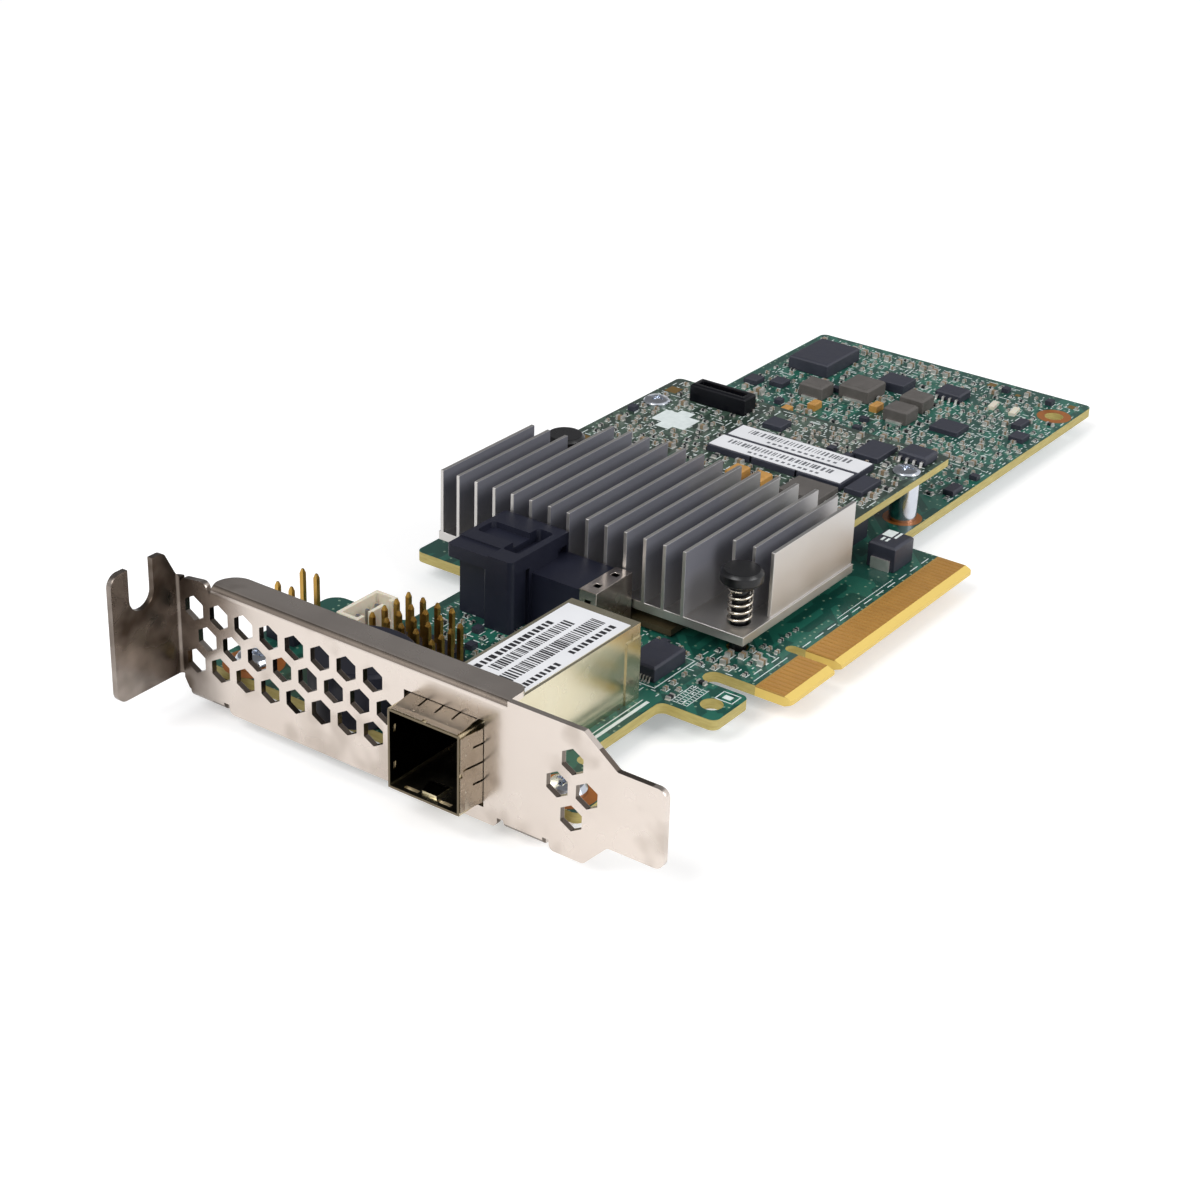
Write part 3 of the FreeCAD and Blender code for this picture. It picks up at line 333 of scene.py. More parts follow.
# %% [markdown]
# The heatsink is an aluminium extrusion, clear anodised. The die leaves lines that run the
# length of each fin, so its grain is stretched along the card: 0.16 mm across the lines and
# 4 mm along them. The sides of the channels get a painted shade: they are mixed towards a
# darker blue-grey and made less metallic, more so towards the top of the fins, while the tips
# and the sawn ends keep the bare colour. The painted shade is weakest at the far end of the
# fins that lie nearest to the contacts, which makes a painted highlight there.

# %% Extruded aluminium
ALONG_FINS = (0.04, 1, 1)
FIN_SIDE = 0.6
CHANNELS = (40, 11.2, 4.0), (90, 75, 20)
# Ranges in metres, from the full effect to the least or the other way round.
CHANNEL_DEPTH, FAR_END, NEAR_EDGE = (0.004, 0.011), (0.010, 0.021), (0.026, 0.036)

fin_metal, tree, shader = new_finish("anodised_aluminium_extrusion", "c4c1bd", 0.40, 1.0)
spot, drift, tint = drift_and_grain(tree, shader, "d4d1cd", "bbb8b5", 14.0, (0.34, 0.46), 0.16, 0.004,
                                    ALONG_FINS)
# Painted shade on the channel sides, stronger towards the top, and a painted highlight at the far ends
# nearest the contacts.
is_side = calc(tree, "GREATER_THAN", facing(tree, "Y"), FIN_SIDE)
in_channel = calc(tree, "MULTIPLY", is_side, inside(tree, spot, *CHANNELS))
axes = axes_of(tree, spot)
depth = remap(tree, axes["Z"], CHANNEL_DEPTH, (0.5, 0.95))
far_end = remap(tree, axes["X"], FAR_END, (1.0, 0.35))
near_edge = remap(tree, axes["Y"], NEAR_EDGE)
kept = calc(tree, "MAXIMUM", far_end, near_edge)
painted_channel_shade = calc(tree, "MULTIPLY", calc(tree, "MULTIPLY", in_channel, depth), kept)
lay_over(tree, shader, tint, painted_channel_shade, "74757f")
tree.links.new(remap(tree, painted_channel_shade, after=(1.0, 0.1)), shader.inputs["Metallic"])

# %% [markdown]
# Contacts and header pins are plated with hard gold, which is deeper and redder than brass.
# Solder joints and chip leads are tin: almost white, with a satin surface.

# %% Gold, tin, copper and spring wire
hard_gold = grained("hard_gold_plate", "c29a50", 0.34, 1.0,
                    "cba458", "a5803c", 2.0, (0.28, 0.4), 0.3, 0.002)
finger_gold = grained("contact_finger_gold", "c08c42", 0.4, 0.35,
                      "c8954a", "ae7c38", 2.5, (0.34, 0.48), 0.3, 0.002)
bright_tin = grained("bright_tin_plate", "e2e1de", 0.45, 0.85,
                     "ebe9e5", "cdcac5", 1.2, (0.38, 0.54), 0.25, 0.004)
bright_zinc = grained("bright_zinc_plate", "cfd3da", 0.16, 1.0,
                      "d8dce2", "aeb4bf", 2.0, (0.10, 0.22), 0.4, 0.003)
bare_copper = grained("lacquered_copper_pad", "b86e30", 0.42, 0.5,
                      "c47a39", "9c5a26", 1.5, (0.36, 0.5), 0.3, 0.003)
spring_wire = grained("plated_spring_wire", "d9d2c4", 0.2, 1.0,
                      "e3dccd", "b9b0a2", 1.0, (0.14, 0.26), 0.2, 0.002)
print("metals ready")

# %% [markdown]
# ## Plastics and ceramics
#
# Connectors are glass-filled thermoplastic, moulded with a fine spark-eroded texture, so they
# look dark blue-grey where light grazes them. Chips are epoxy with a duller, grainier top.
# The push pins are plain nylon and shine.

# %% Black plastics
port_plastic = grained("moulded_port_plastic", "11142a", 0.5, 0.0,
                       "171a2c", "0e101d", 8.0, (0.42, 0.56), 0.22, 0.012, Specular_IOR_Level=0.45)
chip_epoxy = grained("chip_epoxy", "292b37", 0.5, 0.0,
                     "313340", "232530", 3.0, (0.42, 0.58), 0.16, 0.010, Specular_IOR_Level=0.5)
pin_nylon = grained("push_pin_nylon", "08080b", 0.3, 0.0,
                    "0c0c10", "060608", 4.0, (0.26, 0.36), 0.4, 0.001, Specular_IOR_Level=0.4)
socket_plastic = grained("black_socket_plastic", "07080e", 0.34, 0.0,
                         "0b0c14", "05060a", 4.0, (0.28, 0.4), 0.3, 0.001, Specular_IOR_Level=0.18)
coil_ferrite = grained("pressed_iron_powder", "56524f", 0.6, 0.0,
                       "625e5b", "47433f", 2.0, (0.5, 0.7), 0.2, 0.02)

# %% [markdown]
# Pale parts: the cable socket is natural nylon, slightly waxy, so a little light passes into it.
# Capacitors are fired ceramic in tan and grey, and moulded tantalum capacitors are
# orange-yellow.

# %% Pale plastics and ceramics
natural_nylon = grained("natural_nylon", "ded8c8", 0.42, 0.0,
                        "e4dece", "d0c8b4", 5.0, (0.36, 0.48), 0.4, 0.006,
                        Subsurface_Weight=0.15, Subsurface_Scale=0.0015)
capacitor_ceramic = grained("fired_ceramic", "8b775e", 0.5, 0.0,
                            "9a866b", "77644e", 1.4, (0.4, 0.6), 0.2, 0.004)
resistor_glaze = grained("resistor_glaze", "1d1e22", 0.32, 0.0,
                         "26272c", "16171a", 1.0, (0.26, 0.4), 0.2, 0.003)
tantalum_case = grained("tantalum_case", "bb8840", 0.45, 0.0,
                        "c8954c", "a87a38", 2.0, (0.38, 0.5), 0.25, 0.006)
lamp_lens = grained("clear_lamp_epoxy", "d8dccb", 0.25, 0.0,
                    "e2e6d6", "c4c9b4", 1.0, (0.2, 0.3), 0.3, 0.003,
                    Subsurface_Weight=0.1, Subsurface_Scale=0.001)

# %% [markdown]
# Labels are matt white polyester film. Their print, and the legend that is screened on the
# boards, are thin flat fields of ink with slightly uneven cover.

# %% Label film and inks
label_film = grained("polyester_label_film", "e6e7ea", 0.42, 0.0,
                     "ebecef", "dcdde0", 7.0, (0.36, 0.5), 0.5, 0.003)
label_ink = grained("black_label_ink", "1b1b20", 0.5, 0.0,
                    "24242a", "141417", 0.8, (0.42, 0.58), 0.2, 0.002)
faded_ink = grained("faded_label_ink", "64666c", 0.5, 0.0,
                    "6e7076", "56585e", 0.8, (0.42, 0.58), 0.2, 0.002)
legend_ink = grained("white_legend_ink", "dde5e4", 0.55, 0.0,
                     "e9f0ef", "c6d1cf", 0.9, (0.45, 0.62), 0.12, 0.004)
print("plastics, ceramics and inks ready")

# %% [markdown]
# ## The printed circuit board
#
# A board is woven glass in yellowish epoxy, with copper traces under a green lacquer. Seen from
# above it is green, where traces run under the lacquer it is a little lighter, and where tracks
# change layer there are small plated dots. Its cut edges show the bare glass laminate, and so
# does the tongue around the contacts, which is never lacquered. One material holds all of it:
# the direction that a face points in tells a cut edge from a side.

# %% Board material
# A wave texture runs through 20 radians in a unit at scale 1, and this is one radian in mm, so
# the tracks lie 2.6 mm apart.
TRACK_RADIAN = 0.42
WAVE_RADIANS = 20
REGION_SIZE, DOT_CELL, CLOTH_LAYER = 4.5, 1.3, 0.25
TRACK_SHARE, COPPER_SHARE = 0.35, 0.8
DOT_RADIUS, DOT_SHARE = 0.14, 0.62
FLAT_SIDE = 0.3
BARE_TONGUE = (46.5, -1, -3), (110, 5.9, 1)
TONGUE_BEVEL = 1.2


def board_finish(name, lacquer, over_copper, seed, bare=None):
    """Solder lacquer over traces on the flat sides, bare laminate on the cut edges and the tongue."""
    material, tree, shader = new_finish(name, lacquer, 0.34)
    spot = add_node(tree, "ShaderNodeTexCoord").outputs["Object"]
    shift = {"Vector": spot, "Location": (seed, seed * 0.7, 0)}
    shifted = add_node(tree, "ShaderNodeMapping", shift).outputs["Vector"]

    # Regions of a few millimetres, each with its own direction of traces.
    regions = add_node(tree, "ShaderNodeTexVoronoi",
                       {"Vector": shifted, "Scale": per_mm(REGION_SIZE), "Randomness": 0.9},
                       distance="CHEBYCHEV", voronoi_dimensions="2D")
    choice = add_node(tree, "ShaderNodeSeparateColor", {"Color": regions.outputs["Color"]}).outputs
    turned = add_node(tree, "ShaderNodeVectorRotate", {"Vector": shifted, "Angle": math.radians(45)},
                      rotation_type="Z_AXIS").outputs["Vector"]
    waves = per_mm(TRACK_RADIAN) / WAVE_RADIANS
    along = add_node(tree, "ShaderNodeTexWave", {"Vector": shifted, "Scale": waves}, bands_direction="Y")
    across = add_node(tree, "ShaderNodeTexWave", {"Vector": turned, "Scale": waves}, bands_direction="X")
    pick = calc(tree, "GREATER_THAN", choice["Red"], 0.5)
    lines = mix(tree, pick, along.outputs["Fac"], across.outputs["Fac"], "FLOAT")
    filled = calc(tree, "GREATER_THAN", choice["Green"], TRACK_SHARE)
    tracks = calc(tree, "MULTIPLY", remap(tree, lines, (0.5, 0.62)), filled)
    copper = calc(tree, "MAXIMUM", tracks, calc(tree, "GREATER_THAN", choice["Blue"], COPPER_SHARE))

    # The lacquer drifts slowly in depth, and is lighter over copper.
    cover = mix(tree, copper, srgb(lacquer), srgb(over_copper))
    shade = remap(tree, noise(tree, spot, 11), after=(0.8, 1.15))
    green = mix(tree, 1.0, cover, shade, blend_type="MULTIPLY")

    # Plated dots of a third of a millimetre where tracks change layer.
    dots = add_node(tree, "ShaderNodeTexVoronoi",
                    {"Vector": shifted, "Scale": per_mm(DOT_CELL), "Randomness": 0.85},
                    voronoi_dimensions="2D")
    dot_choice = add_node(tree, "ShaderNodeSeparateColor", {"Color": dots.outputs["Color"]}).outputs
    near = calc(tree, "LESS_THAN", dots.outputs["Distance"], DOT_RADIUS)
    via = calc(tree, "MULTIPLY", near, calc(tree, "GREATER_THAN", dot_choice["Red"], DOT_SHARE))
    dotted = mix(tree, via, green, srgb("7f9a84"))

    # Cut edges: thin layers of glass cloth in yellowish resin.
    squashed = {"Vector": spot, "Scale": (0.12, 0.12, 1)}
    layered = add_node(tree, "ShaderNodeMapping", squashed).outputs["Vector"]
    laminate = mix(tree, noise(tree, layered, CLOTH_LAYER), srgb("9a8844"), srgb("c8bb78"))
    is_side = calc(tree, "GREATER_THAN", facing(tree, "Z"), FLAT_SIDE)
    if bare:
        low, high = bare
        masked = calc(tree, "SUBTRACT", 1.0, inside(tree, spot, low, high))
        between = inside(tree, spot, (low[0], TONGUE_BEVEL, -0.2), high)
        resin = mix(tree, between, srgb("e0c268"), srgb("a8803e"))
        laminate = mix(tree, masked, resin, laminate)
        is_side = calc(tree, "MULTIPLY", is_side, masked)
    tree.links.new(mix(tree, is_side, laminate, dotted), shader.inputs["Base Color"])
    tree.links.new(remap(tree, is_side, after=(0.6, 0.32)), shader.inputs["Roughness"])
    raised = calc(tree, "ADD", copper, via)
    bump = add_node(tree, "ShaderNodeBump", {"Height": raised, "Strength": 0.5, "Distance": 0.02 * MM})
    tree.links.new(bump.outputs["Normal"], shader.inputs["Normal"])
    return material


main_lacquer = board_finish("green_solder_lacquer", "14493f", "1f6152", 0.3, BARE_TONGUE)
cache_lacquer = board_finish("dark_green_solder_lacquer", "2b3c33", "415549", 1.9)
carrier_resin = grained("chip_carrier_resin", "3c3420", 0.5, 0.0,
                        "463d26", "2e2818", 4.0, (0.4, 0.55), 0.3, 0.004)
print("board finishes ready")

# %% [markdown]
# ## Finishes for the solids
#
# Each solid from the frame gets the finish of the real piece. Where a folded or moulded edge
# would catch the light, the solid is shown by a copy of itself whose edges are rounded by a
# tenth of a millimetre or so; the solid stays in the frame for everything else.

# %% A softened copy of a solid
MERGED_WITHIN = 0.002
FLAT_WITHIN = 1
BEVEL_STEPS = 2


def deselect_all():
    bpy.ops.object.select_all(action="DESELECT")


def only(piece):
    """Makes one object the sole selected and active one."""
    deselect_all()
    piece.hide_set(False)
    piece.select_set(True)
    bpy.context.view_layer.objects.active = piece


def softened(node, material, width, angle=32):
    """A copy of a solid with merged corners and rounded edges that stands for the solid."""
    solid = frame["nodes"][node]
    piece = bpy.data.objects.new(node + "_dressed", solid.data.copy())
    bpy.context.scene.collection.objects.link(piece)
    only(piece)
    bpy.ops.object.mode_set(mode="EDIT")
    bpy.ops.mesh.select_all(action="SELECT")
    bpy.ops.mesh.remove_doubles(threshold=MERGED_WITHIN * MM)
    bpy.ops.mesh.dissolve_limited(angle_limit=math.radians(FLAT_WITHIN))
    bpy.ops.object.mode_set(mode="OBJECT")
    if width:
        bevel = piece.modifiers.new("rounded_edges", "BEVEL")
        bevel.width = width * MM
        bevel.segments = BEVEL_STEPS
        bevel.limit_method = "ANGLE"
        bevel.angle_limit = math.radians(angle)
        bpy.ops.object.modifier_apply(modifier=bevel.name)
    bpy.ops.object.shade_smooth_by_angle(angle=math.radians(angle))
    even = piece.modifiers.new("flat_faces_stay_flat", "WEIGHTED_NORMAL")
    even.keep_sharp = True
    bpy.ops.object.modifier_apply(modifier=even.name)
    piece.data.materials.clear()
    piece.data.materials.append(material)
    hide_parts(node)
    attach(piece, solid["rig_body"])
    return piece


def finish_node(node, material):
    """Gives a solid from the frame its finish, in every slot."""
    solid = frame["nodes"][node]
    solid.data.materials.clear()
    solid.data.materials.append(material)


# %% Which solid has which finish
ROUNDED = {
    "slot_bracket": (nickel_plate, 0.12), "external_port_cage": (cage_plate, 0.08),
    "internal_port_clip": (nickel_plate, 0.07), "internal_port_housing": (port_plastic, 0.12),
    "heatsink": (fin_metal, 0.08), "sounder": (port_plastic, 0.15), "cable_socket": (natural_nylon, 0.12),
    "power_socket": (socket_plastic, 0.12), "interface_chip": (chip_epoxy, 0.06), "choke": (chip_epoxy, 0.12),
    "regulator_module": (chip_epoxy, 0.1), "power_inductors": (coil_ferrite, 0.1),
    "tantalum_capacitors": (tantalum_case, 0.1), "bracket_screws": (bright_zinc, 0.08),
    "cache_screws": (bright_zinc, 0.06), "cache_standoffs": (bright_zinc, 0.08),
    "header_bases": (port_plastic, 0.06),
    "push_pin_front": (pin_nylon, 0.1), "push_pin_rear": (pin_nylon, 0.1),
    "small_outline_chips": (chip_epoxy, 0.06), "cache_soic": (chip_epoxy, 0.06),
}
PLAIN = {
    "main_board": main_lacquer, "cache_board": cache_lacquer, "edge_contacts": finger_gold,
    "external_port_gasket": spring_plate, "external_port_receptacle": port_plastic,
    "external_port_contacts": hard_gold, "cage_label": label_film, "internal_port_contacts": hard_gold,
    "controller_substrate": carrier_resin, "controller_solder_grid": bright_tin,
    "controller_lid": nickel_plate,
    "thermal_pad": natural_nylon, "stack_socket": port_plastic, "stack_plug": port_plastic,
    "memory_chips": chip_epoxy, "memory_labels": label_film, "power_monitor_chip": chip_epoxy,
    "buffer_chip": chip_epoxy, "flash_chip": coil_ferrite, "charger_chip": chip_epoxy,
    "power_socket_contacts": hard_gold, "header_pins": hard_gold, "cable_socket_pins": bright_zinc,
    "inductor_terminals": bright_tin, "regulator_chips": chip_epoxy, "small_outline_leads": bright_tin,
    "crystal": bright_tin, "status_lights": lamp_lens, "filter_capacitors": tantalum_case,
}
for node, (material, width) in ROUNDED.items():
    softened(node, material, width)
for node, material in PLAIN.items():
    finish_node(node, material)
print("solids still to dress:", sorted(set(frame["nodes"]) - set(ROUNDED) - set(PLAIN)))

# %% [markdown]
# The coil springs stand on the heatsink's base under their pins; at full press 5.5 mm of
# spring would become 4.0 mm. Each gets a softened copy with a mesh of its own, and is not squeezed here.

# %% Springs
for node, joint in (("pin_spring_front", "front_pin_press"), ("pin_spring_rear", "rear_pin_press")):
    coil = softened(node, spring_wire, 0, angle=60)
    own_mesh(coil)
print("springs ready")

# %% [markdown]
# ## Small parts
#
# A card like this carries hundreds of capacitors and resistors the size of rice grains. Each
# kind is modelled once, from a body and two tinned ends, and copied to its places. The copies
# of one kind are joined into one object that stands at the origin.

# %% Modelling and copying
def unit_block(name, material):
    """A block of one metre that stands on the ground, ready to be scaled to any size."""
    deselect_all()
    bpy.ops.mesh.primitive_cube_add(size=1.0, location=(0, 0, 0.5))
    block = bpy.context.object
    bpy.ops.object.transform_apply(location=True, rotation=False, scale=False)
    block.name = name
    block.data.materials.append(material)
    return block


def shaped(middle, size, turn=0.0):
    """The matrix that scales a unit block to a size in mm and puts its foot at a spot in mm."""
    scale = Matrix.Diagonal((size[0] * MM, size[1] * MM, size[2] * MM, 1))
    return Matrix.Translation(place(*middle)) @ Matrix.Rotation(math.radians(turn), 4, "Z") @ scale


def copies(master, matrices, name, body="card"):
    """Joins one copy of a modelled piece for each matrix into one object."""
    deselect_all()
    for number, matrix in enumerate(matrices):
        mesh = master.data.copy()
        mesh.transform(matrix)
        piece = bpy.data.objects.new(name if number == 0 else name + "_copy", mesh)
        bpy.context.scene.collection.objects.link(piece)
        piece.select_set(True)
        if number == 0:
            bpy.context.view_layer.objects.active = piece
    bpy.ops.object.join()
    joined = bpy.context.object
    joined.name = name
    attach(joined, body)
    return joined


def two_ended_part(name, material, end_share=0.24, body_share=0.92):
    """A body between two tinned ends on their solder pads, all within one unit block."""
    ends = [unit_block(name + "_end", bright_tin) for side in range(2)]
    for side, end in zip((-1, 1), ends):
        end.data.transform(Matrix.Translation((side * (0.42 - end_share / 2), 0, 0))
                           @ Matrix.Diagonal((end_share, 0.94, 1, 1)))
    pads = [unit_block(name + "_pad", bright_tin) for side in range(2)]
    for side, pad in zip((-1, 1), pads):
        pad.data.transform(Matrix.Translation((side * 0.36, 0, 0)) @ Matrix.Diagonal((0.28, 1, 0.12, 1)))
    middle = unit_block(name, material)
    middle.data.transform(Matrix.Translation((0, 0, 0.06))
                          @ Matrix.Diagonal((0.62, 0.94 * body_share, body_share, 1)))
    deselect_all()
    for piece in ends + pads + [middle]:
        piece.select_set(True)
    bpy.context.view_layer.objects.active = middle
    bpy.ops.object.join()
    return middle


ceramic_part = two_ended_part("ceramic_part", capacitor_ceramic)
resistor_part = two_ended_part("resistor_part", resistor_glaze, 0.2, 0.86)
ink_mark = unit_block("ink_mark", legend_ink)
print("one small part has", len(ceramic_part.data.polygons), "faces")

# %% [markdown]
# The rows of small parts that are solids in the frame get the same detail. The pieces of one
# node are found by walking over its edges, and each gives a box to fit a part into.

# %% Boxes of the solids in a node
def boxes_of(node):
    """The lowest and highest corner of each connected piece of a node, in metres."""
    mesh = frame["nodes"][node].data
    places = {}
    label = list(range(len(mesh.vertices)))

    def root(index):
        while label[index] != index:
            label[index] = label[label[index]]
            index = label[index]
        return index

    for index, vertex in enumerate(mesh.vertices):
        key = tuple(round(v / (0.01 * MM)) for v in vertex.co)
        label[root(index)] = root(places.setdefault(key, index))
    for edge in mesh.edges:
        label[root(edge.vertices[0])] = root(edge.vertices[1])
    groups = {}
    for index, vertex in enumerate(mesh.vertices):
        groups.setdefault(root(index), []).append(vertex.co)
    return [tuple(Vector([pick(co[i] for co in group) for i in range(3)]) for pick in (min, max))
            for group in groups.values()]


def fitted(low, high):
    """The matrix that fits a unit part into a box, with its length along the longer side."""
    size = high - low
    foot = Vector(((low.x + high.x) / 2, (low.y + high.y) / 2, low.z))
    if size.x >= size.y:
        return Matrix.Translation(foot) @ Matrix.Diagonal((size.x, size.y, size.z, 1))
    return (Matrix.Translation(foot) @ Matrix.Rotation(math.pi / 2, 4, "Z")
            @ Matrix.Diagonal((size.y, size.x, size.z, 1)))


for node, master in (("ceramic_capacitors", ceramic_part), ("chip_resistors", resistor_part),
                     ("cache_capacitors", ceramic_part)):
    boxes = boxes_of(node)
    rows = copies(master, [fitted(low, high) for low, high in boxes], node + "_dressed")
    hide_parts(node)
    print(node, len(boxes), "parts")

# %% [markdown]
# ## Print, pads and rings
#
# Some of the legend is plain to see: a broken line above the contacts, the frame of the chip
# beside the port, a broad stripe along the edge under the port, boxes at the hook-shaped tab,
# and white fields in the corner of the cache board.

# %% Legend of the main board and the cache board
INK = 0.02
CACHE_LEVEL = 7.7


def flat_field(x, y, wide, deep, level=0.0):
    """The matrix that lays a unit block flat on a board, as thin as ink."""
    return shaped((x, y, level), (wide, deep, INK))


def frame_lines(x0, y0, x1, y1, wide=0.16):
    """The four sides of a rectangular outline."""
    middle_x, middle_y = (x0 + x1) / 2, (y0 + y1) / 2
    return [(middle_x, y0, x1 - x0 + wide, wide), (middle_x, y1, x1 - x0 + wide, wide),
            (x0, middle_y, wide, y1 - y0), (x1, middle_y, wide, y1 - y0)]


port_stripes = [(27.9, 14.75, 12.4, 0.55), (27.9, 15.6, 12.4, 0.16)]
contact_lines = [(61.5 + 3.4 * step, 6.65, 2.2, 0.16) for step in range(11)]
contact_lines += [(52.1, 6.7, 8.6, 0.13), (79.0, 7.35, 16.0, 0.10)]
tab_boxes = frame_lines(40.6, 5.6, 42.9, 8.3) + [(41.75, 6.95, 1.0, 1.3)]
tab_boxes += [(36.4 + 0.62 * step, 10.4 + 0.85 * row, 0.13, 0.5) for step in range(9) for row in range(3)]
tab_boxes += [(39.0, 10.0 + 0.85 * row, 5.4, 0.1) for row in range(4)]
chip_frame = frame_lines(37.7, 16.2, 47.5, 23.2) + [(50.4, 13.0 + 1.1 * step, 1.2, 0.14) for step in range(4)]
header_frames = frame_lines(17.0, 36.6, 27.2, 39.8, 0.14) + frame_lines(15.2, 40.2, 27.0, 53.0, 0.14)
port_frame = frame_lines(31.5, 33.5, 40.5, 45.5, 0.18)
main_legend = port_stripes + contact_lines + tab_boxes + chip_frame + header_frames + port_frame
cache_legend = [(101.1, 56.3, 7.8, 2.6), (101.4, 58.65, 4.6, 2.1), (100.8, 53.95, 4.8, 2.1)]
cache_legend += [(86.0, 15.6 + 0.7 * step, 2.2, 0.14) for step in range(3)]
legend = [flat_field(*mark) for mark in main_legend]
legend += [flat_field(*mark, CACHE_LEVEL) for mark in cache_legend]
copies(ink_mark, legend, "legend_lines")
print("legend marks:", len(legend))

# %% [markdown]
# Bare copper shows in rings round the screws and at the rear hole, and gold shows on a few test
# pads. A ring is a filled circle whose middle is cut away and which is then given a thickness.

# %% Rings and pads
RING_SIDES = 48
REAR_HOLE = (159.4, 16.9)
# Outer and inner radius of each kind of ring.
HOLE_RING, STANDOFF_RING, SCREW_RING = (2.95, 1.62), (3.1, 2.05), (4.3, 1.9)
MAIN_PADS = ((165.4, 31.9, 1.6, 1.5), (163.9, 26.1, 0.9, 0.9), (165.1, 16.4, 1.5, 1.2))
CACHE_PADS = ((112.9, 59.4, 1.4, 1.6), (86.2, 63.6, 1.4, 1.6), (111.4, 63.6, 2.4, 2.2))
CAP_SIZE, CAP_TURN = (3.0, 1.1, 0.6), 8


def flat_ring(name, x, y, outer, inner):
    """A thin flat copper ring on the main board."""
    deselect_all()
    bpy.ops.mesh.primitive_circle_add(vertices=RING_SIDES, radius=outer * MM, fill_type="NGON",
                                      location=place(x, y, 0))
    ring = bpy.context.object
    bpy.ops.object.transform_apply(location=True, rotation=True, scale=True)
    bpy.ops.object.mode_set(mode="EDIT")
    bpy.ops.mesh.select_all(action="SELECT")
    bpy.ops.mesh.inset(thickness=(outer - inner) * MM)
    bpy.ops.mesh.delete(type="FACE")
    bpy.ops.mesh.select_all(action="SELECT")
    bpy.ops.mesh.extrude_region_move(TRANSFORM_OT_translate={"value": (0, 0, INK * MM)})
    bpy.ops.mesh.select_all(action="SELECT")
    bpy.ops.mesh.normals_make_consistent(inside=False)
    bpy.ops.object.mode_set(mode="OBJECT")
    ring.name = name
    ring.data.materials.append(bare_copper)
    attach(ring, "card")


flat_ring("rear_hole_ring", *REAR_HOLE, *HOLE_RING)
for node, name, radii in (("cache_standoffs", "standoff_ring", STANDOFF_RING),
                          ("bracket_screws", "bracket_screw_ring", SCREW_RING)):
    for number, (low, high) in enumerate(boxes_of(node)):
        x, y, z = measured((low + high) / 2)
        flat_ring("%s_%d" % (name, number), x, y, *radii)

gold_pad = unit_block("gold_pad", hard_gold)
pads = [flat_field(*pad) for pad in MAIN_PADS] + [flat_field(*pad, CACHE_LEVEL) for pad in CACHE_PADS]
copies(gold_pad, pads, "test_pads")
flat_cap = unit_block("flat_cap", natural_nylon)
caps = [shaped((x, y, 0), CAP_SIZE, CAP_TURN) for x, y in ((156.2, 22.9), (156.4, 27.0))]
copies(flat_cap, caps, "pale_flat_parts")
print("pads:", len(pads))

# %% [markdown]
# The rest of the small parts is sown over the boards. A ray sent down at every half millimetre
# tells where the lacquer is bare, without a solid, a ring or ink; a part may stand where all
# cells under it are bare. Beside most of them the legend has a pair of bars, and between them
# short strokes. The models to copy are a metre wide, so they go far below the rays first.

# %% Where the boards are bare
CELL = 0.5
FAR_BELOW = -5.0
RAY_START = 2.5
UPRIGHT, ON_BOARD = 0.9, 0.01
for master in (ceramic_part, resistor_part, ink_mark, gold_pad, flat_cap):
    master.location.z = FAR_BELOW
bpy.context.view_layer.update()


def bare_cells(level, left, right, low, high):
    """The cells of a half-millimetre grid over which nothing stands on a board."""
    graph = bpy.context.evaluated_depsgraph_get()
    free = set()
    for i in range(int(left / CELL), int(right / CELL)):
        for j in range(int(low / CELL), int(high / CELL)):
            start = place((i + 0.5) * CELL, (j + 0.5) * CELL, level + RAY_START)
            hit, where, normal = bpy.context.scene.ray_cast(graph, start, (0, 0, -1))[:3]
            if hit and normal.z > UPRIGHT and abs(where.z - level * MM) < ON_BOARD * MM:
                free.add((i, j))
    return free


def claim(free, x, y, half_x, half_y):
    """Takes the cells under a part out of the free ones, if all are there."""
    under = [(i, j) for i in range(math.floor((x - half_x) / CELL), math.floor((x + half_x) / CELL) + 1)
             for j in range(math.floor((y - half_y) / CELL), math.floor((y + half_y) / CELL) + 1)]
    if not free.issuperset(under):
        return False
    free.difference_update(under)
    return True


# %% Sowing the small parts and their legend
dice = random.Random(12)
KINDS = (("ceramic", (1.0, 0.5, 0.5)), ("resistor", (1.0, 0.5, 0.35)), ("ceramic", (1.6, 0.8, 0.75)),
         ("resistor", (1.6, 0.8, 0.45)), ("ceramic", (0.8, 0.45, 0.45)), ("block", (1.4, 1.2, 0.8)))
WEIGHTS = (30, 26, 12, 7, 20, 5)
REGIONS = (
    # level of the lacquer, left, right, low, high, most parts and most strokes that it gets
    (0.0, 116.5, 166.5, 14.0, 66.5, 330, 1050),
    (0.0, 24.0, 41.0, 29.0, 53.0, 45, 120),
    (0.0, 12.0, 30.0, 28.5, 38.0, 12, 60),
    (0.0, 35.0, 50.5, 10.5, 30.0, 30, 50),
    (0.0, 47.0, 58.0, 7.5, 16.0, 24, 14),
    (CACHE_LEVEL, 83.0, 115.8, 15.0, 65.0, 190, 620),
)
TRIES_PER_PART, TRIES_PER_STROKE = 12, 8
ROOM_ROUND, MARKED_SHARE, MARK_GAP, MARK_WIDTH = 0.22, 0.6, 0.17, 0.13
STROKE_LENGTHS, STROKE_HALF = (0.5, 0.7, 1.1, 1.9), 0.08
standing = {"ceramic": [], "resistor": [], "block": []}
strokes = []
